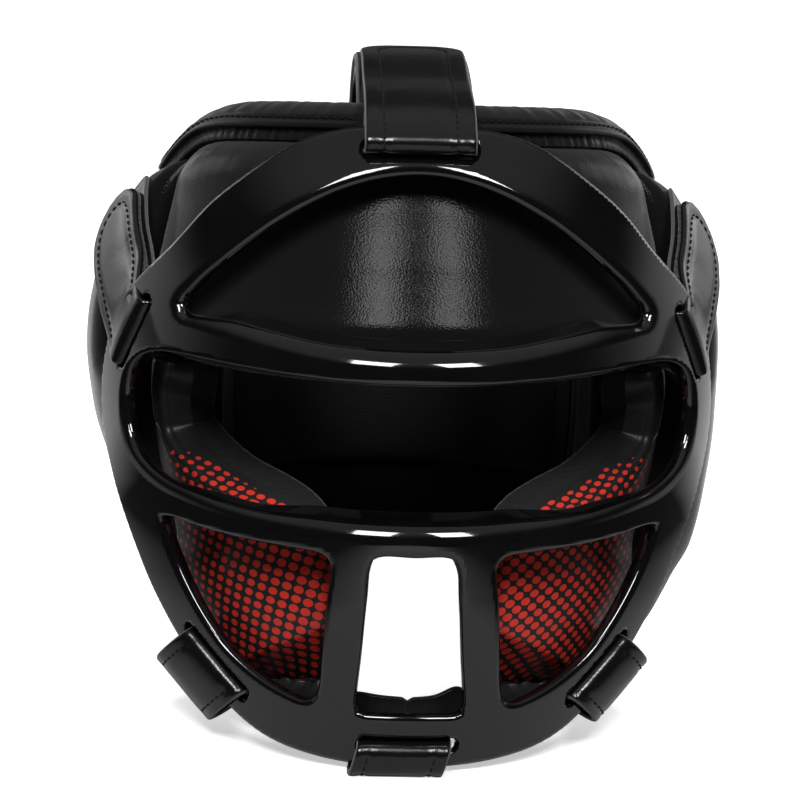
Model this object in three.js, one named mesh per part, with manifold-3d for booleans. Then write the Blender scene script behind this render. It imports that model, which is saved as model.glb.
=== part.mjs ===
// Full face boxing headgear: moulded face cage strapped to a padded leather shell.
// Millimetres, +Z up, the face looks along -Y. The pieces are drawn upright on the head,
// then the whole headgear leans back on its chin loop and the feet of its side panels.
import * as THREE from 'three';
import { mergeVertices } from 'three/addons/utils/BufferGeometryUtils.js';
import Module from 'manifold-3d';

const wasm = await Module();
wasm.setup();

const RAD = Math.PI / 180;
const LEAN = 9;               // degrees the headgear leans back at rest
const FLOOR_FRONT_Y = -112;   // where the floor line meets the chin loop
const FLOOR_FRONT_Z = 0.9;
const CAGE_AXIS_Y = -10;      // upright axis the cage is wrapped round
const MM_PER_DEGREE = 2;      // flat pattern scale round the cage
const CAGE_WALL = 6;
const CAGE_BEVEL = 1.8;
const RAIL_DEPTH = 13;        // how far the brow and middle bars reach inward
const RAIL_RISE = 4.5;        // how far their ledges climb on the way in
const HEAD_Y = 2;             // upright axis of the padded shell
const STRAP_HALF = 1.1;       // half thickness of the strap leather
const LINING_GAP = 0.8;       // between the lining and the panels behind it

// outer surface of the cage: half width and depth of its level sections
const CAGE = [
  { z: -20, half: 84, depth: 97 },
  { z: 0, half: 88, depth: 104 },
  { z: 30, half: 95, depth: 113 },
  { z: 60, half: 103, depth: 119 },
  { z: 90, half: 110, depth: 121 },
  { z: 120, half: 112, depth: 120 },
  { z: 150, half: 111, depth: 116 },
  { z: 180, half: 106, depth: 104 },
  { z: 210, half: 97, depth: 86 },
  { z: 225, half: 92, depth: 75 },
];

// right half of the cage pattern, degrees round the axis and height
const CAGE_EDGE = [
  [0, 212.5], [10, 212], [17, 210.5], [25, 206], [33.5, 196.5], [42, 185], [48.3, 173],
  [54, 165], [60, 157], [66, 146], [70.5, 133], [72.6, 120], [72.4, 109], [71, 100],
  [67.8, 90], [64.8, 77], [61.8, 62], [57, 47.4], [47.8, 28], [38.5, 15], [31, 8.6], [20, 4.6],
  [10.5, 3], [0, 2.5],
];
const FOREHEAD_HOLE = [
  [0, 195.8], [8, 194.3], [15, 190.4], [22.5, 183.8], [30, 175.2], [38, 164.4], [43, 156.6],
  [45.2, 152.4], [44.4, 149.6], [40, 148], [33, 146.2], [25, 143.6], [15, 140.8], [0, 139.6],
];
const EYE_HOLE = [
  [0, 129.7], [10, 130], [22.7, 131.8], [34, 134], [44, 135.6], [51, 135.4], [56, 132.6],
  [59.6, 126.8], [61, 119], [60.4, 109], [58.4, 102.6], [54.6, 97.6], [49, 93.6], [42, 91],
  [34, 88.6], [19, 85.2], [0, 84.2],
];
const MOUTH_HOLE = [
  [0, 74.6], [5.6, 74.8], [7.4, 73.4], [8.6, 60], [9.8, 42], [11, 25.6], [9.6, 22.4], [0, 21],
];
const CHEEK_HOLE = [
  [16.4, 74.6], [22, 76], [30, 77.2], [40, 79.2], [48, 80.8], [51, 79.6], [50.6, 75], [49, 66],
  [46.6, 57], [43, 47], [38.6, 38.6], [32, 31], [25.6, 26.2], [21.4, 24.6], [19.4, 26.6],
  [17.6, 42], [16, 60], [15, 72],
];

// straight slots for the straps, from end to end, with their width
const SLOTS = [
  { from: [-10.9, 204.8], to: [10.9, 204.8], width: 6.2 },
  { from: [-10.6, 10.6], to: [10.6, 10.6], width: 4.6 },
  { from: [53.4, 153.6], to: [63, 128.4], width: 5 },
  { from: [49, 43], to: [35, 22], width: 5 },
];

// inner surface of the padded shell: half width, reach forward, reach back
const HEAD = [
  { z: 14, half: 64, front: 76, back: 86 },
  { z: 50, half: 74, front: 84, back: 94 },
  { z: 80, half: 78, front: 88, back: 98 },
  { z: 110, half: 80, front: 90, back: 100 },
  { z: 140, half: 80, front: 89, back: 100 },
  { z: 165, half: 78, front: 85, back: 98 },
  { z: 185, half: 74, front: 77, back: 93 },
  { z: 205, half: 67, front: 66, back: 83 },
  { z: 224, half: 57, front: 53, back: 71 },
];

// height of the rim centre round the head, degrees from the face
const RIM = [
  { psi: 0, z: 213.2 },
  { psi: 35, z: 213.2 },
  { psi: 52, z: 212.4 },
  { psi: 62, z: 209.4 },
  { psi: 70, z: 203.6 },
  { psi: 78, z: 199 },
  { psi: 90, z: 196 },
  { psi: 125, z: 197 },
  { psi: 180, z: 203 },
];
const RIM_HALF_HEIGHT = 6;
const RIM_HALF_DEPTH = 9;
const RIM_OFFSET = 11;

// half reach of the forehead panel, degrees from the face
const FOREHEAD_REACH = 69.6;

// side panels: front edge below and above the corner that the forehead panel sits on, back edge
const SIDE_FRONT_LOW = 62;
const SIDE_FRONT_HIGH = 70.8;
const SIDE_BACK = 121.4;
const SIDE_ROWS = 13;
const SIDE_CORNER_ROW = 6;
const SIDE_CORNER_LOW = 0.5;
const SIDE_CORNER_HIGH = 0.59;
// foot and padding of the side panels, degrees from the face
const SIDE = [
  { psi: 62, low: 58, pad: 25 },
  { psi: 68, low: 40, pad: 30 },
  { psi: 78, low: 23, pad: 34 },
  { psi: 90, low: 16, pad: 35 },
  { psi: 108, low: 20, pad: 34 },
  { psi: 121.4, low: 29, pad: 30 },
];
// how the side padding swells with height, as a share of its full thickness
const SIDE_SWELL = [
  { z: 16, right: 0.5, left: 0.36 },
  { z: 52, right: 0.7, left: 0.44 },
  { z: 64, right: 0.82, left: 0.54 },
  { z: 86, right: 0.905, left: 0.73 },
  { z: 111, right: 0.97, left: 0.92 },
  { z: 132, right: 1, left: 1 },
  { z: 158, right: 0.94, left: 0.94 },
  { z: 180, right: 0.81, left: 0.81 },
  { z: 200, right: 0.74, left: 0.74 },
];
const BACK = [
  { psi: 122.6, low: 40, pad: 28 },
  { psi: 150, low: 46, pad: 27 },
  { psi: 180, low: 48, pad: 26 },
];

// cheek pad: inner and outer edges round the cage, set-back from the cage face
const CHEEK = [
  { z: 23.4, inner: 21, outer: 48, set: 13 },
  { z: 32, inner: 17.5, outer: 53, set: 12.3 },
  { z: 48, inner: 16.5, outer: 59, set: 12 },
  { z: 62, inner: 17, outer: 62.5, set: 13 },
  { z: 72, inner: 20, outer: 64, set: 15.8 },
  { z: 80, inner: 28, outer: 66.1, set: 17.4 },
  { z: 88, inner: 39, outer: 67.4, set: 17.8 },
  { z: 96, inner: 48.5, outer: 68.2, set: 16.6 },
  { z: 106, inner: 55, outer: 68.2, set: 15 },
  { z: 126, inner: 55.5, outer: 67.2, set: 13 },
];
const CHEEK_PAD = 18;

// lower and upper edge of the chin strap, degrees from the middle of the chin
const CHIN_STRAP = [
  { phi: 0, low: 8, high: 22.4 },
  { phi: 13, low: 8, high: 24 },
  { phi: 19, low: 8.4, high: 22.9 },
  { phi: 25, low: 9.4, high: 22.6 },
  { phi: 44, low: 12, high: 22.6 },
];

// centre lines of the straps: reach y and height z in the middle plane
const CROWN_STRAP = [
  [-55.2, 215.6], [-40, 225.4], [-10, 234.2], [25, 236], [58, 228], [76, 217.2], [86.5, 212.4], [97, 210.85],
];
const TOP_STRAP = [
  [-4, 239.2], [-28, 235.6], [-55, 227.4], [-76, 222.4], [-90, 217.2], [-98.4, 211.4],
  [-102.8, 206.6], [-100.5, 204.2], [-94, 203.8], [-88, 206.4], [-84.6, 211.6], [-82, 216.2],
];
const CHIN_LOOP = [
  [-119.6, 9.6], [-119.4, 4.4], [-116, 0.9], [-109, 0.9], [-105.2, 4.2], [-105, 9.4],
  [-108, 10.8], [-116, 10.8],
];
// side tab of the right side, from its tail to the end of its base
const SIDE_TAB = [
  [103.4, -17, 184.5], [105, -27.5, 175.4], [105.6, -38, 166.4], [105.4, -48, 157.8], [104.2, -57.2, 149.8],
  [100.9, -65, 144.4], [97.4, -71, 141.2], [95, -71.9, 140.7], [91.6, -70.6, 140.8], [87, -67.4, 141.2],
  [86.6, -63.4, 143.6], [89.6, -59.4, 147], [92.6, -55.8, 150.4],
];
const TAB_ACROSS = new THREE.Vector3(0.351, 0.47, -0.81).normalize();
const TAB_HALF_WIDTH = 14;
// lower loop round the rail outside its slot: along the run and off the cage face
const LOWER_LOOP = [
  [0, 0.6], [2.4, 2.5], [8, 3.4], [14.6, 2.7], [18.6, 0],
  [18.8, -5.4], [14, -9.8], [6, -10], [1.9, -7.8], [0.8, -3.6],
];
const LOOP_HALF_WIDTH = 15;
const LOOP_SHEAR = 0.28;

function smooth(rows, key, column) {
  const x = rows.map((row) => row[key]);
  const y = rows.map((row) => row[column]);
  const last = x.length - 1;
  const step = x.slice(1).map((value, i) => (y[i + 1] - y[i]) / (value - x[i]));
  const slope = x.map((value, i) => {
    if (i === 0) return step[0];
    if (i === last) return step[last - 1];
    if (step[i - 1] * step[i] <= 0) return 0;
    const before = x[i] - x[i - 1];
    const after = x[i + 1] - x[i];
    const w1 = 2 * after + before;
    const w2 = after + 2 * before;
    return (w1 + w2) / (w1 / step[i - 1] + w2 / step[i]);
  });
  return (at) => {
    const q = Math.min(Math.max(at, x[0]), x[last]);
    let i = 0;
    while (i < last - 1 && q > x[i + 1]) i += 1;
    const span = x[i + 1] - x[i];
    const t = (q - x[i]) / span;
    const a = y[i] * (1 + 2 * t) * (1 - t) ** 2 + slope[i] * span * t * (1 - t) ** 2;
    return a + y[i + 1] * t * t * (3 - 2 * t) - slope[i + 1] * span * t * t * (1 - t);
  };
}

const cageHalf = smooth(CAGE, 'z', 'half');
const cageDepth = smooth(CAGE, 'z', 'depth');
const headHalf = smooth(HEAD, 'z', 'half');
const headFront = smooth(HEAD, 'z', 'front');
const headBack = smooth(HEAD, 'z', 'back');
const rimHeight = smooth(RIM, 'psi', 'z');

function cagePoint(phi, z, inward) {
  const turn = phi * RAD;
  const x = (cageHalf(z) - inward) * Math.sin(turn);
  return new THREE.Vector3(x, CAGE_AXIS_Y - (cageDepth(z) - inward) * Math.cos(turn), z);
}

function headPoint(psi, z, outward) {
  const sin = Math.sin(psi * RAD);
  const cos = Math.cos(psi * RAD);
  const a = headHalf(z);
  const b = cos > 0 ? headFront(z) : headBack(z);
  const out = new THREE.Vector3(sin / a, -cos / b, 0).setLength(outward);
  return out.add(new THREE.Vector3(a * sin, HEAD_Y - b * cos, z));
}

function geometryOf(points, faces) {
  const geometry = new THREE.BufferGeometry();
  const values = points.flatMap((p) => p.toArray());
  geometry.setAttribute('position', new THREE.Float32BufferAttribute(values, 3));
  geometry.setIndex(faces.flat());
  return geometry;
}

function bodyOf(geometry) {
  const merged = welded(geometry);
  const mesh = new wasm.Mesh({
    numProp: 3,
    vertProperties: new Float32Array(merged.attributes.position.array),
    triVerts: new Uint32Array(merged.index.array),
  });
  return new wasm.Manifold(mesh);
}

function geometryOfBody(body) {
  const mesh = body.getMesh();
  const geometry = new THREE.BufferGeometry();
  geometry.setAttribute('position', new THREE.BufferAttribute(new Float32Array(mesh.vertProperties), 3));
  geometry.setIndex(new THREE.BufferAttribute(new Uint32Array(mesh.triVerts), 1));
  return geometry;
}

// closed cushion between an outer and an inner sheet, both functions of u and v from 0 to 1
function cushion(columns, rows, outer, inner) {
  const points = [];
  for (const sheet of [outer, inner]) {
    for (let j = 0; j <= rows; j += 1) {
      for (let i = 0; i <= columns; i += 1) points.push(sheet(i / columns, j / rows));
    }
  }
  const size = (columns + 1) * (rows + 1);
  const at = (i, j) => j * (columns + 1) + i;
  const faces = [];
  for (let j = 0; j < rows; j += 1) {
    for (let i = 0; i < columns; i += 1) {
      const quad = [at(i, j), at(i + 1, j), at(i + 1, j + 1), at(i, j + 1)];
      faces.push([quad[0], quad[1], quad[2]], [quad[0], quad[2], quad[3]]);
      faces.push([quad[0] + size, quad[2] + size, quad[1] + size]);
      faces.push([quad[0] + size, quad[3] + size, quad[2] + size]);
    }
  }
  const border = [];
  for (let i = 0; i < columns; i += 1) border.push(at(i, 0));
  for (let j = 0; j < rows; j += 1) border.push(at(columns, j));
  for (let i = columns; i > 0; i -= 1) border.push(at(i, rows));
  for (let j = rows; j > 0; j -= 1) border.push(at(0, j));
  border.forEach((a, k) => {
    const b = border[(k + 1) % border.length];
    faces.push([a, a + size, b + size], [a, b + size, b]);
  });
  return geometryOf(points, faces);
}

// share of the full padding left towards the borders of a cushion
function crown(u, v, edge) {
  const across = 1 - Math.abs(2 * u - 1) ** 5;
  const along = 1 - Math.abs(2 * v - 1) ** 5;
  return edge + (1 - edge) * Math.sqrt(across * along);
}

// flat strap of four-cornered section along a line, open with end caps or closed in a ring
function ribbon(line, across, halfWidth, halfThick, samples, closed) {
  const curve = new THREE.CatmullRomCurve3(line, closed, 'centripetal');
  const points = [];
  const faces = [];
  const count = closed ? samples : samples + 1;
  for (let k = 0; k < count; k += 1) {
    const centre = curve.getPointAt(k / samples);
    const tangent = curve.getTangentAt(k / samples);
    const out = new THREE.Vector3().crossVectors(tangent, across).setLength(halfThick);
    const side = across.clone().setLength(halfWidth);
    points.push(centre.clone().add(side).add(out), centre.clone().sub(side).add(out));
    points.push(centre.clone().sub(side).sub(out), centre.clone().add(side).sub(out));
  }
  const rings = closed ? count : count - 1;
  for (let k = 0; k < rings; k += 1) {
    for (let c = 0; c < 4; c += 1) {
      const a = 4 * k + c;
      const b = 4 * k + ((c + 1) % 4);
      const e = 4 * ((k + 1) % count) + c;
      const f = 4 * ((k + 1) % count) + ((c + 1) % 4);
      faces.push([a, b, f], [a, f, e]);
    }
  }
  if (!closed) {
    const end = 4 * (count - 1);
    faces.push([0, 2, 1], [0, 3, 2], [end, end + 1, end + 2], [end, end + 2, end + 3]);
  }
  return geometryOf(points, faces);
}

function mirrored(geometry) {
  const copy = geometry.clone().applyMatrix4(new THREE.Matrix4().makeScale(-1, 1, 1));
  const index = copy.index.array;
  for (let i = 0; i < index.length; i += 3) {
    const keep = index[i];
    index[i] = index[i + 1];
    index[i + 1] = keep;
  }
  return copy;
}

function outline(half, spacing) {
  const mirror = half.slice(1, -1).reverse().map(([phi, z]) => [-phi, z]);
  return ring([...half, ...mirror], spacing);
}

function ring(loop, spacing) {
  const flat = loop.map(([phi, z]) => new THREE.Vector3(phi * MM_PER_DEGREE, z, 0));
  const curve = new THREE.CatmullRomCurve3(flat, true, 'centripetal');
  const count = Math.round(curve.getLength() / spacing);
  return curve.getSpacedPoints(count).slice(0, count).map((p) => new THREE.Vector2(p.x, p.y));
}

function slotRing({ from, to, width }) {
  const a = new THREE.Vector2(from[0] * MM_PER_DEGREE, from[1]);
  const b = new THREE.Vector2(to[0] * MM_PER_DEGREE, to[1]);
  const along = b.clone().sub(a).normalize();
  const side = new THREE.Vector2(-along.y, along.x);
  const points = [];
  for (const [centre, sign] of [[b, 1], [a, -1]]) {
    for (let k = 0; k <= 2; k += 1) {
      const turn = (k / 2 - 0.5) * Math.PI;
      const tip = along.clone().multiplyScalar(Math.cos(turn) * sign);
      tip.addScaledVector(side, Math.sin(turn) * sign);
      points.push(centre.clone().addScaledVector(tip, width / 2));
    }
  }
  return points;
}

function flipped(points) {
  return points.map((p) => new THREE.Vector2(-p.x, p.y)).reverse();
}

function welded(geometry) {
  const bare = geometry.clone();
  bare.deleteAttribute('normal');
  bare.deleteAttribute('uv');
  return mergeVertices(bare, 1e-3);
}

// splits every edge longer than the limit at its middle, until none is left
function refined(geometry, limit) {
  const merged = welded(geometry);
  const points = [];
  const position = merged.attributes.position;
  for (let i = 0; i < position.count; i += 1) {
    points.push(new THREE.Vector3().fromBufferAttribute(position, i));
  }
  const index = Array.from(merged.index.array);
  let faces = [];
  for (let i = 0; i < index.length; i += 3) faces.push(index.slice(i, i + 3));
  for (let pending = true; pending;) {
    pending = false;
    const middles = new Map();
    const next = [];
    for (const face of faces) {
      const lengths = face.map((a, k) => points[a].distanceTo(points[face[(k + 1) % 3]]));
      const k = lengths.indexOf(Math.max(...lengths));
      const key = [face[k], face[(k + 1) % 3]].sort((a, b) => a - b).join();
      if (lengths[k] > limit && !middles.has(key)) {
        const half = points[face[k]].clone().lerp(points[face[(k + 1) % 3]], 0.5);
        middles.set(key, points.push(half) - 1);
      }
    }
    for (const face of faces) next.push(...split(face, middles));
    pending = middles.size > 0;
    faces = next;
  }
  return geometryOf(points, faces);
}

// pieces of one triangle whose edges may have a middle point
function split(face, middles) {
  for (let k = 0; k < 3; k += 1) {
    const [a, b, c] = [face[k], face[(k + 1) % 3], face[(k + 2) % 3]];
    const half = middles.get([a, b].sort((p, q) => p - q).join());
    if (half !== undefined) return [...split([a, half, c], middles), ...split([half, b, c], middles)];
  }
  return [face];
}

// flat pattern with bevelled edges, cut into small triangles and wrapped round the cage axis
function cagePlate() {
  const shape = new THREE.Shape(outline(CAGE_EDGE, 12).reverse());
  const cheek = ring(CHEEK_HOLE, 8);
  const slots = SLOTS.map(slotRing);
  const holes = [
    outline(FOREHEAD_HOLE, 9), outline(EYE_HOLE, 9), outline(MOUTH_HOLE, 8),
    cheek, flipped(cheek), ...slots, flipped(slots[2]), flipped(slots[3]),
  ];
  shape.holes = holes.map((points) => new THREE.Path(points));
  const flat = new THREE.ExtrudeGeometry(shape, {
    depth: CAGE_WALL - 2 * CAGE_BEVEL,
    bevelThickness: CAGE_BEVEL,
    bevelSize: CAGE_BEVEL,
    bevelOffset: -CAGE_BEVEL,
    bevelSegments: 1,
    curveSegments: 1,
  });
  const cut = refined(flat, 34);
  const position = cut.attributes.position;
  for (let i = 0; i < position.count; i += 1) {
    const inward = CAGE_WALL - CAGE_BEVEL - position.getZ(i);
    const p = cagePoint(position.getX(i) / MM_PER_DEGREE, position.getY(i), inward);
    position.setXYZ(i, p.x, p.y, p.z);
  }
  return bodyOf(cut);
}

// deep ledge behind a bar, between the lower and upper edges of the openings it divides
function cageRail(lower, upper, reach) {
  const low = smooth(lower, '0', '1');
  const high = smooth(upper, '0', '1');
  const columns = 16;
  const corner = (u, v, depth, rise) => {
    const phi = (2 * u - 1) * reach;
    const bottom = low(Math.abs(phi)) + 1.6;
    const top = high(Math.abs(phi)) - 0.8;
    return cagePoint(phi, bottom + (top - bottom) * v + rise, depth);
  };
  const front = (u, v) => corner(u, v, 2.5, 0);
  const back = (u, v) => corner(u, v, RAIL_DEPTH, RAIL_RISE);
  return bodyOf(cushion(columns, 1, front, back));
}

function faceCage() {
  const brow = cageRail(EYE_HOLE.slice(0, 5), [...FOREHEAD_HOLE].reverse().slice(0, 5), 39);
  const middleTop = [...EYE_HOLE].reverse().slice(0, 5);
  const middleLow = [[0, 74.6], [22, 76], [30, 77.2], [40, 79.2], [48, 80.8]];
  const middle = cageRail(middleLow, middleTop, 42);
  return geometryOfBody(cagePlate().add(brow).add(middle));
}

const foreheadTop = (psi) => rimHeight(Math.abs(psi)) - RIM_HALF_HEIGHT - 0.4;

function foreheadPanel() {
  const sheet = (outward) => (u, v) => {
    const psi = (2 * u - 1) * FOREHEAD_REACH;
    const low = 127 + 6 * (psi / FOREHEAD_REACH) ** 2;
    const z = low + (foreheadTop(psi) - low) * v;
    return headPoint(psi, z, outward(u, v));
  };
  return cushion(18, 8, sheet((u, v) => 24 * crown(u, v, 0.6)), sheet(() => 0));
}

// front edge and share of the height at a row of a side panel
function sideRow(v) {
  const row = Math.round(v * SIDE_ROWS);
  if (row <= SIDE_CORNER_ROW) {
    return [SIDE_FRONT_LOW, SIDE_CORNER_LOW * row / SIDE_CORNER_ROW];
  }
  const above = (row - SIDE_CORNER_ROW - 1) / (SIDE_ROWS - SIDE_CORNER_ROW - 1);
  return [SIDE_FRONT_HIGH, SIDE_CORNER_HIGH + (1 - SIDE_CORNER_HIGH) * above];
}

function sidePanel(share) {
  const low = smooth(SIDE, 'psi', 'low');
  const pad = smooth(SIDE, 'psi', 'pad');
  const swell = smooth(SIDE_SWELL, 'z', share);
  const place = (u, v) => {
    const [front, height] = sideRow(v);
    const psi = front + (SIDE_BACK - front) * u;
    return [psi, low(psi) + (foreheadTop(psi) - 0.6 - low(psi)) * height];
  };
  const outer = (u, v) => {
    const [psi, z] = place(u, v);
    return headPoint(psi, z, pad(psi) * swell(z) * crown(u, v, 0.72));
  };
  return cushion(12, SIDE_ROWS, outer, (u, v) => headPoint(...place(u, v), 0));
}

function backPanel() {
  const low = smooth(BACK, 'psi', 'low');
  const pad = smooth(BACK, 'psi', 'pad');
  const place = (u, v) => {
    const psi = 122.6 + 114.8 * u;
    const turn = psi > 180 ? 360 - psi : psi;
    return [psi, low(turn) + (foreheadTop(turn) - low(turn)) * v, pad(turn)];
  };
  const outer = (u, v) => {
    const [psi, z, full] = place(u, v);
    return headPoint(psi, z, full * crown(u, v, 0.66));
  };
  return cushion(18, 9, outer, (u, v) => headPoint(...place(u, v).slice(0, 2), 0));
}

function topRim() {
  const around = 48;
  const section = 8;
  const points = [];
  const faces = [];
  for (let k = 0; k < around; k += 1) {
    const psi = -180 + (360 * k) / around;
    for (let s = 0; s < section; s += 1) {
      const turn = (2 * Math.PI * s) / section;
      const z = rimHeight(Math.abs(psi)) + RIM_HALF_HEIGHT * Math.sin(turn);
      points.push(headPoint(psi, z, RIM_OFFSET + RIM_HALF_DEPTH * Math.cos(turn)));
    }
  }
  for (let k = 0; k < around; k += 1) {
    for (let s = 0; s < section; s += 1) {
      const a = k * section + s;
      const b = k * section + ((s + 1) % section);
      const c = ((k + 1) % around) * section + s;
      const d = ((k + 1) % around) * section + ((s + 1) % section);
      faces.push([a, c, d], [a, d, b]);
    }
  }
  return geometryOf(points, faces);
}

function cheekPad() {
  const inner = smooth(CHEEK, 'z', 'inner');
  const outer = smooth(CHEEK, 'z', 'outer');
  const set = smooth(CHEEK, 'z', 'set');
  const low = CHEEK[0].z;
  const high = CHEEK[CHEEK.length - 1].z;
  const sheet = (depth) => (u, v) => {
    const z = low + (high - low) * v;
    const phi = inner(z) + (outer(z) - inner(z)) * u;
    return cagePoint(phi, z, set(z) + depth(u, v));
  };
  const front = (u, v) => 6 * (1 - crown(u, v, 0));
  const back = (u, v) => CHEEK_PAD - 5 * (1 - crown(u, v, 0));
  return cushion(10, 12, sheet(front), sheet(back));
}

function chinStrap() {
  const low = smooth(CHIN_STRAP, 'phi', 'low');
  const high = smooth(CHIN_STRAP, 'phi', 'high');
  const sheet = (depth) => (u, v) => {
    const phi = (2 * u - 1) * 44;
    const turn = Math.abs(phi);
    return cagePoint(phi, low(turn) + (high(turn) - low(turn)) * v, 21 - 5 * v + depth);
  };
  return cushion(20, 2, sheet(0), sheet(5));
}

function lining(from, to, low, high, thick, edge, columns, rows) {
  const place = (u, v) => [from + (to - from) * u, low + (high - low) * v];
  const inner = (u, v) => headPoint(...place(u, v), -LINING_GAP - thick * crown(u, v, edge));
  return cushion(columns, rows, (u, v) => headPoint(...place(u, v), -LINING_GAP), inner);
}

function lowerLoop() {
  const { from, to } = SLOTS[3];
  const a = cagePoint(...from, 0);
  const b = cagePoint(...to, 0);
  const along = a.clone().sub(b).normalize();
  const centre = cagePoint((from[0] + to[0]) / 2, (from[1] + to[1]) / 2, 0);
  const edge = cagePoint(47.5, 29, 0);
  const run = edge.sub(centre);
  run.addScaledVector(along, -run.dot(along)).normalize();
  const out = new THREE.Vector3().crossVectors(along, run);
  if (out.y > 0) out.negate();
  run.addScaledVector(along, LOOP_SHEAR);
  const line = LOWER_LOOP.map(([r, n]) => centre.clone().addScaledVector(run, r).addScaledVector(out, n));
  return ribbon(line, along, LOOP_HALF_WIDTH, STRAP_HALF, 26, true);
}

const X_AXIS = new THREE.Vector3(1, 0, 0);
const middle = (line) => line.map(([y, z]) => new THREE.Vector3(0, y, z));
const tabLine = SIDE_TAB.map((p) => new THREE.Vector3(...p));

const LEATHER = { color: 0x141415, roughness: 0.5, metalness: 0 };
const STRAP = { color: 0x101011, roughness: 0.45, metalness: 0 };
const PLASTIC = { color: 0x0b0b0c, roughness: 0.18, metalness: 0 };
const PRINTED = { color: 0x8d1f1b, roughness: 0.5, metalness: 0 };
const CLOTH = { color: 0x2a2a2c, roughness: 0.9, metalness: 0 };

const cheek = cheekPad();
const tab = ribbon(tabLine, TAB_ACROSS, TAB_HALF_WIDTH, STRAP_HALF, 30, false);
const loop = lowerLoop();
const sideLining = lining(56, 116, 66, 178, 5, 0.5, 8, 6);

const PIECES = [
  ['face_cage', faceCage(), PLASTIC],
  ['forehead_panel', foreheadPanel(), LEATHER],
  ['top_rim', topRim(), LEATHER],
  ['side_panel_right', sidePanel('right'), LEATHER],
  ['side_panel_left', mirrored(sidePanel('left')), LEATHER],
  ['back_panel', backPanel(), LEATHER],
  ['cheek_pad_right', cheek, PRINTED],
  ['cheek_pad_left', mirrored(cheek), PRINTED],
  ['crown_strap', ribbon(middle(CROWN_STRAP), X_AXIS, 22, 2, 22, false), LEATHER],
  ['top_cage_strap', ribbon(middle(TOP_STRAP), X_AXIS, 18.4, STRAP_HALF, 34, false), STRAP],
  ['side_tab_right', tab, STRAP],
  ['side_tab_left', mirrored(tab), STRAP],
  ['lower_loop_right', loop, STRAP],
  ['lower_loop_left', mirrored(loop), STRAP],
  ['chin_loop', ribbon(middle(CHIN_LOOP), X_AXIS, 15.6, STRAP_HALF, 26, true), STRAP],
  ['chin_strap', chinStrap(), LEATHER],
  ['lining_right', sideLining, CLOTH],
  ['lining_left', mirrored(sideLining), CLOTH],
  ['lining_back', lining(128, 232, 78, 182, 9, 0.4, 11, 6), CLOTH],
];
const RESTING = ['side_panel_right', 'side_panel_left', 'chin_loop'];

// lean back about the floor line, then cut the resting pieces flat along the floor
const lean = new THREE.Matrix4().makeRotationX(-LEAN * RAD);
lean.multiply(new THREE.Matrix4().makeTranslation(0, -FLOOR_FRONT_Y, -FLOOR_FRONT_Z));
const BELOW = new THREE.BoxGeometry(600, 600, 80).translate(0, 0, -40);

const placed = PIECES.map(([name, geometry, finish]) => {
  const turned = geometry.clone().applyMatrix4(lean);
  if (!RESTING.includes(name)) return [name, turned, finish];
  return [name, geometryOfBody(bodyOf(turned).subtract(bodyOf(BELOW))), finish];
});
const box = new THREE.Box3();
placed.forEach(([, { attributes }]) => {
  box.union(new THREE.Box3().setFromBufferAttribute(attributes.position));
});
const middleY = (box.min.y + box.max.y) / 2;

const headgear = new THREE.Group();
headgear.name = 'full_face_boxing_headgear';
placed.forEach(([name, geometry, finish]) => {
  geometry.translate(0, -middleY, 0);
  geometry.computeVertexNormals();
  const mesh = new THREE.Mesh(geometry, new THREE.MeshStandardMaterial(finish));
  mesh.name = name;
  headgear.add(mesh);
});

export default headgear;
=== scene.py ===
"""Looks of a full face boxing headgear: moulded cage, padded leather shell, straps and lining.

Pieces are drawn in millimetres on an upright head, the face along -Y, then leaned back onto the
floor and scaled to metres. Angles are degrees round the head, 0 in the middle of the face.
"""
import math

import bpy
import numpy as np
from mathutils import Matrix


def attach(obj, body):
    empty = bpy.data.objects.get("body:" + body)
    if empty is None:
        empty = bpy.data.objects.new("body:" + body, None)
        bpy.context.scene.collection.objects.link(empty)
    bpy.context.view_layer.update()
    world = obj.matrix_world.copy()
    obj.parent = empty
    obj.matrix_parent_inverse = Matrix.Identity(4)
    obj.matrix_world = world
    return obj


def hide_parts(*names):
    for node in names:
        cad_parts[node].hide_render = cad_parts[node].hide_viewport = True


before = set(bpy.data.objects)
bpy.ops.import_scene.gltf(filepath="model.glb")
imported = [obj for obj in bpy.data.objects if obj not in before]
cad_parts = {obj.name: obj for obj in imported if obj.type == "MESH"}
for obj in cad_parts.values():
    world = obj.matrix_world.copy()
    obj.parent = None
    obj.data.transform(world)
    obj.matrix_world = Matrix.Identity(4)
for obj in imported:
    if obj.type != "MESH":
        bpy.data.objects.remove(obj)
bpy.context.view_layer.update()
scene = bpy.context.scene

LEAN = math.radians(9)
FLOOR_FRONT = (-112, 0.9)  # y and z where the floor line meets the chin loop
MIDDLE_Y = 126.1927  # from the floor line to the middle of the headgear
CAGE_AXIS_Y = -10  # y of the axis that the cage is wrapped round
CAGE_WALL = 6
RAIL_DEPTH = 13  # how far the brow and middle bars reach inward
RAIL_SLOPE = 4.5 / 13  # climb of their ledges on the way in
HEAD_Y = 2  # y of the middle of the head
RIM_DROP = 6.4  # from the rim's centre down to the tops of the panels
FLAT = (2, 1)  # millimetres to a degree and a millimetre in the flat pattern of the cage
FAR = 1e9  # more than any distance

# height, half width, depth of the cage's outer surface
CAGE = [
    (-20, 84, 97), (0, 88, 104), (30, 95, 113), (60, 103, 119), (90, 110, 121), (120, 112, 120),
    (150, 111, 116), (180, 106, 104), (210, 97, 86), (225, 92, 75),
]
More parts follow.
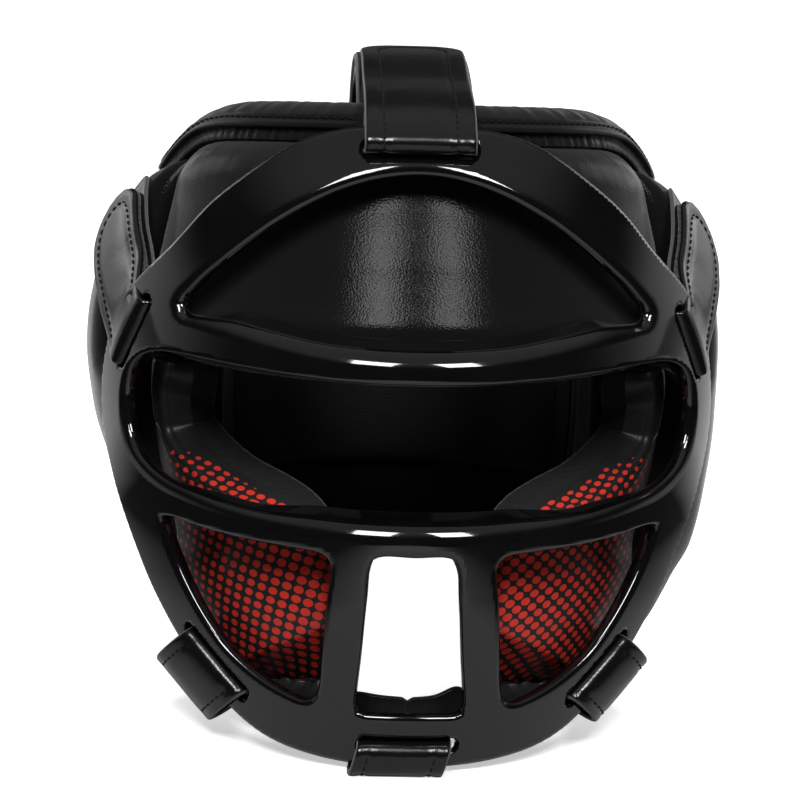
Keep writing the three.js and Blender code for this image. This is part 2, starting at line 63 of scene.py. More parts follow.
# right halves of the cage's outlines: angle, height
CAGE_EDGE = [
    (0, 212.5), (10, 212), (17, 210.5), (25, 206), (33.5, 196.5), (42, 185), (48.3, 173), (54, 165),
    (60, 157), (66, 146), (70.5, 133), (72.6, 120), (72.4, 109), (71, 100), (67.8, 90), (64.8, 77),
    (61.8, 62), (57, 47.4), (47.8, 28), (38.5, 15), (31, 8.6), (20, 4.6), (10.5, 3), (0, 2.5),
]
FOREHEAD_HOLE = [
    (0, 195.8), (8, 194.3), (15, 190.4), (22.5, 183.8), (30, 175.2), (38, 164.4), (43, 156.6),
    (45.2, 152.4), (44.4, 149.6), (40, 148), (33, 146.2), (25, 143.6), (15, 140.8), (0, 139.6),
]
EYE_HOLE = [
    (0, 129.7), (10, 130), (22.7, 131.8), (34, 134), (44, 135.6), (51, 135.4), (56, 132.6), (59.6, 126.8),
    (61, 119), (60.4, 109), (58.4, 102.6), (54.6, 97.6), (49, 93.6), (42, 91), (34, 88.6), (19, 85.2),
    (0, 84.2),
]
MOUTH_HOLE = [
    (0, 74.6), (5.6, 74.8), (7.4, 73.4), (8.6, 60), (9.8, 42), (11.1, 24.6), (10.9, 22.6), (9.9, 21.6),
    (5, 21.3), (0, 21.3),
]
CHEEK_HOLE = [
    (16.4, 74.6), (22, 76), (30, 77.2), (40, 79.2), (48, 80.8), (51, 79.6), (50.6, 75), (49, 66),
    (46.6, 57), (43, 47), (38.6, 38.6), (32, 31), (25.6, 26.2), (21.4, 24.6), (19.4, 26.6), (17.6, 42),
    (16, 60), (15, 72),
]
MIDDLE_BAR_FOOT = [(0, 74.6), *CHEEK_HOLE[1:5]]
# slots for the straps: one end, other end, width
SLOTS = [
    ((-9.7, 204.8), (9.7, 204.8), 6.2), ((-9.6, 10.6), (9.2, 10.6), 4.6),
    ((54.3, 151.2), (62.1, 130.8), 5), ((48.2, 41.8), (36.2, 23.8), 5),
]
# height, half width, reach forward, reach back of the padded shell's inner surface
HEAD = [
    (14, 64, 76, 86), (50, 74, 84, 94), (80, 78, 88, 98), (110, 80, 90, 100), (140, 80, 89, 100),
    (165, 78, 85, 98), (185, 74, 77, 93), (205, 67, 66, 83), (224, 57, 53, 71),
]
# angle, height of the rim's centre
RIM = [
    (0, 213.2), (35, 213.2), (52, 212.9), (62, 211.4), (68, 208.6), (74, 204), (80, 199.4), (90, 196),
    (125, 197), (180, 203),
]
# rim section: outward and up from its centre line, from the inside over roll and piping to band and lip
RIM_SECTION = [
    (3, -4), (1.8, 0.5), (3.6, 4.2), (8, 6.2), (13, 6.1), (17.2, 4.2), (19, 1.6), (18.3, 0.5), (18.9, -0.2),
    (19.3, -1.1), (18.6, -2.1), (17.2, -2.4), (16, -3.6), (15.6, -6), (14.8, -6.9), (13.4, -6.7),
    (11.8, -6.1), (9, -6.1),
]
FOREHEAD_REACH = 69.6
FOREHEAD_FOOT = (127, 6)  # height of the forehead panel's lower edge, and its climb to the sides
# height, padding of the forehead panel
FOREHEAD_PAD = [
    (127, 25), (145, 25.4), (155, 23), (165, 21.2), (175, 20.4), (185, 20.4), (195, 21.4), (207, 22),
]
SIDE_FRONT = (62, 70.8)  # front edge of a side panel below and above the forehead panel's corner
SIDE_BACK = 121.4
SIDE_GAP = 0.6  # under the rim
# row and share of the height round the forehead panel's corner
SIDE_CORNER = ((0, 0), (6 / 13, 0.5), (7 / 13, 0.59), (1, 1))
# angle, foot, padding of the side panels
SIDE = [(62, 58, 25), (68, 40, 30), (78, 23, 34), (90, 16, 35), (108, 20, 34), (121.4, 29, 30)]
# height, share of the side padding on the right and on the left
SIDE_SWELL = [
    (16, 0.5, 0.36), (52, 0.76, 0.44), (64, 0.89, 0.54), (86, 0.955, 0.74), (111, 0.985, 0.93), (132, 1, 1),
    (158, 0.94, 0.94), (180, 0.81, 0.81), (200, 0.74, 0.74),
]
BACK_START = 122.6
# angle, foot, padding of the back panel
BACK = [(BACK_START, 40, 28), (150, 46, 27), (180, 48, 26)]
# millimetres to a radian along the panels
FOREHEAD_RADIUS, SIDE_RADIUS, BACK_RADIUS = 104, 108, 118
# height, outer edge, set-back of the cheek pads from the cage's face, ridge of their front
CHEEK = [
    (23.4, 48, 13, 21), (32, 53, 12.3, 17.5), (48, 59, 12, 16.5), (62, 62.5, 13, 17.4), (72, 64, 15.8, 19.5),
    (80, 66.1, 17, 25), (86, 67, 17, 33), (91, 67.8, 16.8, 43.5), (96, 68.2, 16.4, 51), (101, 68.2, 16, 57),
    (108, 68.2, 15.5, 61.2), (117, 67.8, 14.5, 61.2), (126, 67.2, 13.5, 58.8),
]
# angle, lower edge, upper edge of the chin strap, notched in the middle
CHIN_STRAP = [(0, 8, 22.2), (1.6, 8, 23.6), (13, 8, 24), (19, 8.4, 22.9), (25, 9.4, 22.6), (44, 12, 22.6)]
# centre lines of the straps in the middle plane: y, z
CROWN_STRAP = [
    (-55.2, 215.6), (-40, 225.4), (-10, 234.2), (25, 236), (58, 228), (76, 217.2), (86.5, 212.4),
    (97, 210.85),
]
TOP_STRAP = [
    (-4, 239.2), (-28, 235.6), (-55, 227.4), (-76, 222.4), (-90, 217.2), (-98.4, 211.4), (-102.8, 206.6),
    (-100.5, 204.2), (-94, 203.8), (-88, 206.4), (-84.6, 211.6), (-82, 216.2),
]
CHIN_LOOP = [
    (-119.6, 9.6), (-119.4, 4.4), (-116, 0.9), (-109, 0.9), (-105.2, 4.2), (-105, 9.4), (-108, 10.8),
    (-116, 10.8),
]
# right side tab from its tail to the end of its base, and the tail of the base strap under it
SIDE_TAB = [
    (103.2, -20.4, 182), (103.3, -28.2, 175), (102.3, -38, 166.4), (100, -48, 157.8), (98.4, -57.2, 149.8),
    (97.4, -65, 144.4), (96.3, -71, 141.2), (95, -71.9, 140.7), (91.6, -70.6, 140.8), (87, -67.4, 141.2),
    (86.6, -63.4, 143.6), (89.6, -59.4, 147), (92.6, -55.8, 150.4),
]
TAB_BASE_TAIL = (101, -13.4, 187.4)
# its direction across, at the tail and in the slot
TAB_ACROSS = ((0.53, 0.42, -0.735), (0.351, 0.47, -0.81))
# lower loop: along its run and off the cage's face
LOWER_LOOP = [
    (0, 0.6), (2.4, 2.5), (8, 3.4), (14.6, 2.7), (18.6, 0), (18.8, -5.4), (14, -9.8), (6, -10), (1.9, -7.8),
    (0.8, -3.6),
]
LOOP_AIM = (47.5, 29)  # angle and height on the cage that the loop runs towards
LOOP_SHEAR = 0.28  # slant of the loops


# Curves and surfaces


def hermite(a, b, slope_a, slope_b, t):
    """Cubic from a to b with the given slopes at its ends."""
    start, end = a * (1 + 2 * t) + slope_a * t, b * (3 - 2 * t) - slope_b * (1 - t)
    return start * (1 - t) ** 2 + end * t ** 2


def smooth(table, column=1):
    """Curve through a table's first and given columns that never overshoots them."""
    rows = np.array(table, float)
    x, y = rows[:, 0], rows[:, column]
    h = np.diff(x)
    d = np.diff(y) / h
    w1, w2 = 2 * h[1:] + h[:-1], h[1:] + 2 * h[:-1]
    same = d[:-1] * d[1:] > 0
    p, q = np.where(same, d[:-1], 1), np.where(same, d[1:], 1)
    slope = np.concatenate([d[:1], np.where(same, (w1 + w2) / (w1 / p + w2 / q), 0), d[-1:]])

    def at(value):
        value = np.clip(value, x[0], x[-1])
        i = np.clip(np.searchsorted(x, value) - 1, 0, len(h) - 1)
        return hermite(y[i], y[i + 1], slope[i] * h[i], slope[i + 1] * h[i], (value - x[i]) / h[i])

    return at


def run_of(points):
    """Length along a line up to each of its points."""
    return np.concatenate([[0], np.cumsum(np.linalg.norm(np.diff(points, axis=0), axis=1))])


def picked(at, run, table):
    """Rows of a table at the given places of its run."""
    return np.stack([np.interp(at, run, column) for column in table.T], -1)


def unit(vectors):
    return vectors / np.linalg.norm(vectors, axis=-1, keepdims=True)


def to_segment(x, y, a, b):
    """Distance from places x and y to the segment from a to b."""
    dx, dy = b[0] - a[0], b[1] - a[1]
    t = np.clip(((x - a[0]) * dx + (y - a[1]) * dy) / max(dx * dx + dy * dy, 1e-12), 0, 1)
    return np.hypot(x - a[0] - t * dx, y - a[1] - t * dy)


def spline(points, spacing, closed=False):
    """Evenly spaced points on a centripetal curve through the given ones."""
    p = np.array(points, float)
    ends = (p[-1:], p[:2]) if closed else (2 * p[:1] - p[1:2], 2 * p[-1:] - p[-2:-1])
    p = np.concatenate([ends[0], p, ends[1]])
    step = np.maximum(np.linalg.norm(np.diff(p, axis=0), axis=1), 1e-6)[:, None] ** 0.5
    a, b, c, d = p[:-3], p[1:-2], p[2:-1], p[3:]
    before, here, after = step[:-2], step[1:-1], step[2:]
    m1 = here * ((b - a) / before - (c - a) / (before + here) + (c - b) / here)
    m2 = here * ((c - b) / here - (d - b) / (here + after) + (d - c) / after)
    t = np.linspace(0, 1, 24, endpoint=False)[:, None, None]
    fine = hermite(b, c, m1, m2, t).swapaxes(0, 1).reshape(-1, p.shape[1])
    fine = np.concatenate([fine, fine[:1] if closed else p[-2:-1]])
    run = run_of(fine)
    count = max(2, round(run[-1] / spacing))
    even = picked(np.linspace(0, run[-1], count + 1), run, fine)
    return even[:-1] if closed else even


def ramp(value, low, high):
    t = np.clip((value - low) / (high - low), 0, 1)
    return t * t * (3 - 2 * t)


def edge(distance, width):
    """Quarter-round rise from 0 at a border to 1 at the given width."""
    return np.sqrt(1 - (1 - np.clip(distance / width, 0, 1)) ** 2)


# share of the period and height of each wave in a ripple
RIPPLE = ((1, 1), (0.62, 0.5), (1.7, 0.5))


def waves(value, period, seed):
    """Uneven ripples of about the given period, from -1 to 1."""
    phases = np.random.default_rng(seed).uniform(0, 2 * math.pi, len(RIPPLE))
    total = 0
    for (stretch, height), phase in zip(RIPPLE, phases):
        total = total + height * np.sin(value * 2 * math.pi / (period * stretch) + phase)
    return total / sum(height for _, height in RIPPLE)


cage_half, cage_depth = smooth(CAGE, 1), smooth(CAGE, 2)
head_half, head_front, head_back = smooth(HEAD, 1), smooth(HEAD, 2), smooth(HEAD, 3)
rim_height = smooth(RIM)


def cage_point(phi, z, inward):
    turn = np.radians(phi)
    x = (cage_half(z) - inward) * np.sin(turn)
    y = CAGE_AXIS_Y - (cage_depth(z) - inward) * np.cos(turn)
    return np.stack(np.broadcast_arrays(x, y, z), -1)


def head_point(psi, z, outward):
    sin, cos = np.sin(np.radians(psi)), np.cos(np.radians(psi))
    a = head_half(z)
    b = np.where(cos > 0, head_front(z), head_back(z))
    nx, ny = sin / a, -cos / b
    scale = outward / np.hypot(nx, ny)
    return np.stack(np.broadcast_arrays(a * sin + nx * scale, HEAD_Y - b * cos + ny * scale, z), -1)


def panel_top(psi):
    return rim_height(np.abs(psi)) - RIM_DROP


def turned(vectors):
    """Directions of the upright head in the leaning frame."""
    x, y, z = np.moveaxis(np.asarray(vectors, float), -1, 0)
    c, s = math.cos(LEAN), math.sin(LEAN)
    return np.stack([x, y * c + z * s, z * c - y * s], -1)


def placed(points):
    """Points of the upright head in the leaning frame, in metres."""
    moved = turned(np.asarray(points, float) - (0, *FLOOR_FRONT))
    return (moved - (0, MIDDLE_Y, 0)) / 1000


# Meshes: each is a tuple of points, quads and material numbers


def sheet_faces(rows, columns, wrap=False):
    j, i = np.meshgrid(np.arange(rows - 1), np.arange(columns if wrap else columns - 1), indexing="ij")
    a, b = j * columns + i, j * columns + (i + 1) % columns
    return np.stack([a, b, b + columns, a + columns], -1).reshape(-1, 4)


def cushion(columns, rows, at, outer, inner):
    """Closed pad between two sheets, at(u, v, outer) and at(u, v, inner), finer at its borders."""
    even = [np.linspace(0, 1, n + 1) for n in (columns, rows)]
    u, v = np.meshgrid(*[0.3 * (1 - np.cos(math.pi * t)) + 0.4 * t for t in even])
    points = np.concatenate([at(u, v, sheet).reshape(-1, 3) for sheet in (outer, inner)])
    size = u.size
    top = sheet_faces(rows + 1, columns + 1)
    number = np.arange(size).reshape(u.shape)
    border = np.concatenate([number[0, :-1], number[:-1, -1], number[-1, :0:-1], number[:0:-1, 0]])
    after = np.roll(border, -1)
    wall = np.stack([border, border + size, after + size, after], -1)
    faces = np.concatenate([top, top[:, ::-1] + size, wall])
    return points, faces, np.zeros(len(faces), int)


def joined(*meshes):
    points, faces, marks = zip(*meshes)
    starts = np.cumsum([0, *map(len, points[:-1])])
    faces = [rows + start for rows, start in zip(faces, starts)]
    return np.concatenate(points), np.concatenate(faces), np.concatenate(marks)


def mirrored(mesh):
    points, faces, marks = mesh
    return points * (-1, 1, 1), faces[:, ::-1], marks


STITCH_RISE, STITCH_SINK = 0.28, 0.12  # of the middle and the ends of a stitch
# height and thickness of the bowed thread at each of its rings
STITCH_RINGS = ((0, 0.25), (0.5, 0.75), (0.85, 1), (1, 1), (0.85, 1), (0.5, 0.75), (0, 0.25))
STITCH_SIDES = 6


def stitches(points, normals, mark, length=2.5, pitch=3.3, radius=0.34):
    """Thread stitches along a line that lies on a surface with the given normals."""
    run = run_of(points)
    starts = np.arange(pitch / 2, run[-1] - length, pitch)
    turn = np.linspace(0, 2 * math.pi, STITCH_SIDES, endpoint=False)[:, None]
    count = len(STITCH_RINGS)
    rings = []
    for share, (bow, thick) in zip(np.linspace(0, 1, count), STITCH_RINGS):
        at = starts + share * length
        centre, up = picked(at, run, points), picked(at, run, normals)
        ahead = picked(at + 0.2, run, points) - centre
        ahead /= np.linalg.norm(ahead, axis=1)[:, None] + 1e-9
        side = np.cross(ahead, up)
        centre = centre + up * (bow * STITCH_RISE - STITCH_SINK)
        ring = side[:, None] * np.cos(turn) + up[:, None] * np.sin(turn)
        rings.append(centre[:, None] + ring * radius * thick)
    first = np.arange(len(starts))[:, None, None] * count * STITCH_SIDES
    faces = (first + sheet_faces(count, STITCH_SIDES, wrap=True)).reshape(-1, 4)
    return np.stack(rings, 1).reshape(-1, 3), faces, np.full(len(faces), mark)


STRAP_SPACING = 1.3  # between points along a strap
STRAP_STEP = 1.4  # about as much across it
GROOVE_DEPTH, GROOVE_WIDTH = 0.45, 1.15
THREAD_SINK = 0.32  # of the thread in its groove
TIP_LEAST = 0.3  # keeps the end of a round tip open, square millimetres


class Strap:
    """Flat strap of leather along a line, with rounded edges; marks: 0 face, 1 cut edge, 2 thread."""

    def __init__(self, line, across, half_width, half_thick=1.1, closed=False, tip=0, lift=0.0):
        self.line = spline(line, STRAP_SPACING, closed)
        self.closed = closed
        self.half_width, self.half_thick, self.tip = half_width, half_thick, tip
        ahead = np.roll(self.line, -1, 0) - np.roll(self.line, 1, 0)
        if not closed:
            ahead[0], ahead[-1] = self.line[1] - self.line[0], self.line[-1] - self.line[-2]
        self.run = run_of(self.line)
        across = np.broadcast_to(across(self.run) if callable(across) else across, self.line.shape)
        self.side = unit(across)
        self.out = unit(np.cross(ahead, self.side))
        self.line = self.line + self.out * lift

    def puffed(self, across, puff):
        return puff * (1 - (across / self.half_width) ** 2)

    def mesh(self, seams=(), puff=0.0, crease=0.0):
        """Strap with grooves along seams of (run, across) points and a slight puff between its edges."""
        n = max(10, round(self.half_width * 2 / STRAP_STEP))
        flat = np.linspace(-1, 1, n)
        bend = np.linspace(0, math.pi, 7)[1:-1]
        # half of the section: share of the width, then sideways and up in half thicknesses
        face = [flat, 0 * flat, 1 + 0 * flat]
        half = np.concatenate([face, [1 + 0 * bend, np.sin(bend), np.cos(bend)]], 1)
        w, extra, t = np.concatenate([half, -half], 1)
        s = self.run[:, None]
        rest = np.clip(self.tip - s, 0, self.tip)
        tip = np.sqrt(np.maximum(self.tip ** 2 - rest ** 2, TIP_LEAST if self.tip else 0))
        inner = self.half_width - self.tip + tip - self.half_thick
        across = inner * w + self.half_thick * extra
        rise = self.puffed(across, puff)
        rise = rise + crease * waves(s + 0.35 * across, 23, 3) * waves(across - 0.2 * s, 31, 4)
        for seam in seams:
            line, gap = spline(seam, 2.5), FAR
            for a, b in zip(line[:-1], line[1:]):
                gap = np.minimum(gap, to_segment(s, across, a, b))
            rise = rise - GROOVE_DEPTH * np.exp(-(gap / GROOVE_WIDTH) ** 2)
        off = self.half_thick * t + (np.arange(len(t)) < n) * rise
        points = self.line[:, None] + self.side[:, None] * across[..., None]
        points = (points + self.out[:, None] * off[..., None]).reshape(-1, 3)
        rows, columns = across.shape
        faces = sheet_faces(rows + self.closed, columns, wrap=True) % len(points)
        on_face = np.abs(np.roll(t, -1) + t) > 1.85
        marks = np.tile(np.where(on_face, 0, 1), rows - 1 + self.closed)
        if not self.closed:
            k = np.arange(n - 1)
            under = 2 * n + len(bend) - 1 - k
            cap = np.stack([k, under, under - 1, k + 1], -1)
            for row, flip in ((0, 1), (rows - 1, -1)):
                faces = np.concatenate([faces, row * columns + cap[:, ::flip]])
                marks = np.concatenate([marks, np.ones(n - 1, int)])
        return points, faces[:, ::-1], marks

    def thread(self, seam, puff=0.0):
        """Stitches along a seam of (run, across) points on the outer face."""
        run, across = spline(seam, 0.8).T
        rise = self.half_thick + self.puffed(across, puff) - THREAD_SINK
        line, side, out = (picked(run, self.run, what) for what in (self.line, self.side, self.out))
        return stitches(line + side * across[:, None] + out * rise[:, None], out, 2)

    def sewn(self, seams, puff=0.0, crease=0.0):
        return joined(self.mesh(seams, puff, crease), *[self.thread(seam, puff) for seam in seams])


# Materials


def tree_of(name):
    made = bpy.data.materials.new(name)
    made.use_nodes = True
    tree = made.node_tree
    tree.nodes.clear()
    return made, tree, put(tree, "TexCoord").outputs["Object"]


def put(tree, kind, settings=None, **inputs):
    """Node with inputs given by name, with _ for a space, or by number as i0, i1 and so on."""
    node = tree.nodes.new("ShaderNode" + kind)
    for key, value in (settings or {}).items():
        setattr(node, key, value)
    for key, value in inputs.items():
        numbered = key[0] == "i" and key[1:].isdigit()
        socket = node.inputs[int(key[1:]) if numbered else key.replace("_", " ")]
        if isinstance(value, bpy.types.NodeSocket):
            tree.links.new(value, socket)
        else:
            socket.default_value = value
    return node


def maths(tree, operation, *values):
    inputs = {f"i{k}": value for k, value in enumerate(values)}
    return put(tree, "Math", {"operation": operation}, **inputs).outputs[0]


def noise(tree, where, scale, **inputs):
    return put(tree, "TexNoise", Vector=where, Scale=scale, **inputs).outputs[0]


def bumped(tree, **inputs):
    return put(tree, "Bump", **inputs).outputs[0]


def between(tree, value, from_low, from_high, to_low, to_high, kind="LINEAR"):
    return put(tree, "MapRange", {"clamp": True, "interpolation_type": kind}, Value=value, From_Min=from_low,
               From_Max=from_high, To_Min=to_low, To_Max=to_high).outputs[0]


def colours(tree, factor, stops):
    """Ramp between two stops of position and colour."""
    made = put(tree, "ValToRGB", Fac=factor)
    for element, (position, shade) in zip(made.color_ramp.elements, stops):
        element.position = position
        element.color = (*shade, 1)
    return made.outputs[0]


def finished(tree, **inputs):
    shader = put(tree, "BsdfPrincipled", **inputs)
    put(tree, "OutputMaterial", Surface=shader.outputs[0])


DOT_RED = ((0.36, 0.02, 0.012), (0.54, 0.032, 0.02))


def leather(name, dark, light, rough, grain, size, crease, specular, bloom=0.0, print_dots=False):
    """Grained leather: cell grain of the given size, fine pores, slow creases, uneven sheen."""
    made, tree, where = tree_of(name)
    cells = put(tree, "TexVoronoi", {"feature": "SMOOTH_F1"}, Vector=where, Scale=1 / size, Smoothness=0.4)
    cells = cells.outputs[0]
    pores = noise(tree, where, 2.6 / size, Detail=3.0, Roughness=0.6)
    slow = noise(tree, where, 55.0, Detail=4.0, Roughness=0.55, Distortion=0.6)
    wide = noise(tree, where, 14.0, Detail=2.0)
    height = maths(tree, "MULTIPLY_ADD", pores, 0.45, cells)
    fine = bumped(tree, Strength=grain, Distance=size * 0.3, Height=height)
    bump = bumped(tree, Strength=crease, Distance=0.0016, Height=slow, Normal=fine)
    tone = maths(tree, "MULTIPLY_ADD", cells, 0.3, wide)
    shade = colours(tree, tone, [(0.25, dark), (0.95, light)])
    if print_dots:
        flat = put(tree, "UVMap", {"uv_map": "print"}).outputs[0]
        lattice = put(tree, "TexVoronoi", {"voronoi_dimensions": "2D"}, Vector=flat, Scale=1.0,
                      Randomness=0.0)
        radius = put(tree, "Attribute", {"attribute_name": "dot"}).outputs["Fac"]
        inside = maths(tree, "SUBTRACT", radius, lattice.outputs["Distance"])
        mask = between(tree, inside, -0.02, 0.03, 0.0, 1.0)
        red = colours(tree, tone, [(0.2, DOT_RED[0]), (0.95, DOT_RED[1])])
        shade = put(tree, "Mix", {"data_type": "RGBA"}, i0=mask, i6=shade, i7=red).outputs[2]
    uneven = maths(tree, "MULTIPLY_ADD", cells, 0.35, slow)
    finished(tree, Base_Color=shade, Roughness=between(tree, uneven, 0.3, 1.0, *rough), Normal=bump,
             Specular_IOR_Level=specular, Sheen_Weight=bloom, Sheen_Roughness=0.5)
    return made


def plastic(name):
    """Glossy moulded plastic with faint moulding ripple, dust and hairline scuffs."""
    made, tree, where = tree_of(name)
    ripple = noise(tree, where, 60.0, Detail=2.0)
    dust = put(tree, "TexVoronoi", Vector=where, Scale=260.0).outputs["Distance"]
    stretched = put(tree, "Mapping", Vector=where, Scale=(30.0, 30.0, 700.0)).outputs[0]
    scuff = noise(tree, stretched, 1.0, Detail=5.0, Roughness=0.7)
    speck = between(tree, dust, 0.0, 0.1, 1.0, 0.0)
    worn = between(tree, scuff, 0.62, 0.85, 0.0, 0.14)
    base = between(tree, ripple, 0.3, 0.7, 0.055, 0.085)
    rough = maths(tree, "MULTIPLY_ADD", speck, 0.12, maths(tree, "ADD", base, worn))
    shade = colours(tree, ripple, [(0.3, (0.0014, 0.0014, 0.0017)), (0.8, (0.0026, 0.0026, 0.003))])
    bump = bumped(tree, Strength=0.05, Distance=0.0008, Height=ripple)
    finished(tree, Base_Color=shade, Roughness=rough, Normal=bump, Specular_IOR_Level=0.5)
    return made


def cloth(name, dark, light, size, rough=0.95, fuzz=0.6, sheen=0.25):
    """Matte cloth: crossed threads of the given size under a short nap."""
    made, tree, where = tree_of(name)
    nap = noise(tree, where, 1 / size, Detail=4.0, Roughness=0.7)
    weave = put(tree, "TexWave", {"wave_type": "BANDS", "bands_direction": "Z"}, Vector=where,
                Scale=0.16 / size, Distortion=2.0, Detail=2.0).outputs["Fac"]
    height = maths(tree, "MULTIPLY_ADD", weave, 0.35, nap)
    bump = bumped(tree, Strength=fuzz, Distance=size * 0.6, Height=height)
    shade = colours(tree, nap, [(0.3, dark), (0.72, light)])
    dull = between(tree, nap, 0.3, 0.7, rough - 0.1, rough)
    finished(tree, Base_Color=shade, Roughness=dull, Normal=bump, Specular_IOR_Level=0.2,
             Sheen_Weight=sheen, Sheen_Roughness=0.5)
    return made


CAGE_PLASTIC = plastic("cage_plastic")
PAD_LEATHER = leather(
    "pad_leather", (0.0022, 0.0022, 0.0025), (0.0042, 0.0042, 0.0046), rough=(0.1, 0.15), grain=0.2,
    size=0.0007, crease=0.03, specular=0.045, bloom=0.15,
)
STRAP_LEATHER = leather(
    "strap_leather", (0.002, 0.002, 0.0023), (0.0038, 0.0038, 0.0042), rough=(0.14, 0.24), grain=0.1,
    size=0.0006, crease=0.16, specular=0.35,
)
PRINTED = leather(
    "printed_leather", (0.008, 0.008, 0.0085), (0.014, 0.014, 0.0147), rough=(0.3, 0.42), grain=0.15,
    size=0.0007, crease=0.04, specular=0.2, print_dots=True,
)
CUT_EDGE = cloth("cut_edge", (0.02, 0.02, 0.021), (0.07, 0.07, 0.073), 0.0006)
THREAD = cloth("thread", (0.001, 0.001, 0.001), (0.003, 0.003, 0.003), 0.0003, rough=0.85, sheen=0.02)
LINING = cloth("lining_cloth", (0.003, 0.003, 0.0033), (0.009, 0.009, 0.0097), 0.0007, sheen=0.1)
HOOKS = cloth("hook_and_loop", (0.004, 0.004, 0.0043), (0.03, 0.03, 0.032), 0.0009, fuzz=1.0)


def add(name, mesh, materials, node, normals=None):
    """One piece that stands for a CAD node and rides with the headgear."""
    points, faces, marks = mesh
    data = bpy.data.meshes.new(name)
    where = placed(points)
    where[:, 2] = np.maximum(where[:, 2], 0)
    data.from_pydata(where.tolist(), [], faces.tolist())
    data.polygons.foreach_set("use_smooth", np.ones(len(faces), bool))
    data.polygons.foreach_set("material_index", marks.astype(np.int32))
    for material in materials:
        data.materials.append(material)
    data.validate()
    if normals is not None:
        data.normals_split_custom_set_from_vertices(normals.tolist())
    made = bpy.data.objects.new(name, data)
    scene.collection.objects.link(made)
    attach(made, "root")
    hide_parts(node)
    return made


# Face cage


# grid of the distance tables over the right half of the flat pattern
CELL = 0.75
TABLE_LOW, TABLE_HIGH = (-4.5, -8.0), (156, 222)
# grid of the cage's mesh: place along the pattern, height, depth
NET_LOW, NET_HIGH, NET_STEP = (-151.0, -1.0, -2.0), (152, 217, 17), (1.25, 1.25, 0.95)
# rounding of the cage's edges, three of them by height
EDGE_ROUND, FOREHEAD_ROUND, SLOT_ROUND, BACK_ROUND = 1.7, 4.6, 1.3, 1.9
EYE_ROUND = ((88, 97, 112, 127, 134), (5, 4, 3.4, 3, 1.6))
MOUTH_ROUND = ((23, 30), (2.6, 1.6))
CHEEK_ROUND = ((40, 70, 78), (2.8, 2.2, 1.6))
# angles over which the bars' depth fades out, and the climb of the middle bar's ledge
BROW_FADE, MIDDLE_FADE, MIDDLE_CLIMB_FADE = (33, 45), (36, 49), (16, 34)


def fillet(a, b, radius):
    """Overlap of two solids with a rounded edge."""
    corner = np.hypot(np.maximum(a + radius, 0), np.maximum(b + radius, 0))
    return np.minimum(np.maximum(a, b), -radius) + corner


def signed(loop, s, z):
    """Distance to a closed loop, negative inside."""
    best, inside = np.full(s.shape, FAR), np.zeros(s.shape, bool)
    for a, b in zip(loop, np.roll(loop, -1, 0)):
        best = np.minimum(best, to_segment(s, z, a, b))
        if a[1] != b[1]:
            crossing = a[0] + (z - a[1]) * (b[0] - a[0]) / (b[1] - a[1])
            inside ^= ((a[1] > z) != (b[1] > z)) & (s < crossing)
    return np.where(inside, -1, 1) * best


def whole(half):
    flat = np.array(half, float) * FLAT
    return np.concatenate([flat, flat[-2:0:-1] * (-1, 1)])


def cage_tables():
    """Distances to the outline, the four kinds of opening and the slots."""
    axes = [np.arange(low, high, CELL) for low, high in zip(TABLE_LOW, TABLE_HIGH)]
    s, z = np.meshgrid(*axes, indexing="ij")
    loops = [whole(half) for half in (CAGE_EDGE, FOREHEAD_HOLE, EYE_HOLE, MOUTH_HOLE)]
    loops = [spline(loop, 2.5, True) for loop in (*loops, np.array(CHEEK_HOLE) * FLAT)]
    for _ in range(8):
        loops[0] = loops[0] / 2 + (np.roll(loops[0], 1, 0) + np.roll(loops[0], -1, 0)) / 4
    slot = FAR
    for a, b, width in SLOTS:
        slot = np.minimum(slot, to_segment(s, z, np.multiply(a, FLAT), np.multiply(b, FLAT)) - width / 2)
    return np.stack([*(signed(loop, s, z) for loop in loops), slot], -1)


TABLES = cage_tables()


def looked_up(s, z):
    """Cubic look-up in the tables."""
    x = np.clip((np.abs(s) - TABLE_LOW[0]) / CELL, 1, TABLES.shape[0] - 3.01)
    y = np.clip((z - TABLE_LOW[1]) / CELL, 1, TABLES.shape[1] - 3.01)
    i, j = x.astype(int), y.astype(int)
    weights = []
    for t in (x - i, y - j):
        weights.append([
            ((-t + 2) * t - 1) * t / 2, ((3 * t - 5) * t * t + 2) / 2,
            ((-3 * t + 4) * t + 1) * t / 2, (t - 1) * t * t / 2,
        ])
    total = 0
    for a in range(4):
        for b in range(4):
            total = total + (weights[0][a] * weights[1][b])[..., None] * TABLES[i + a - 1, j + b - 1]
    return np.moveaxis(total, -1, 0)


brow_low = smooth(EYE_HOLE[:5])
brow_high = smooth(FOREHEAD_HOLE[:-6:-1])
middle_low = smooth(MIDDLE_BAR_FOOT)
middle_high = smooth(EYE_HOLE[:-6:-1])


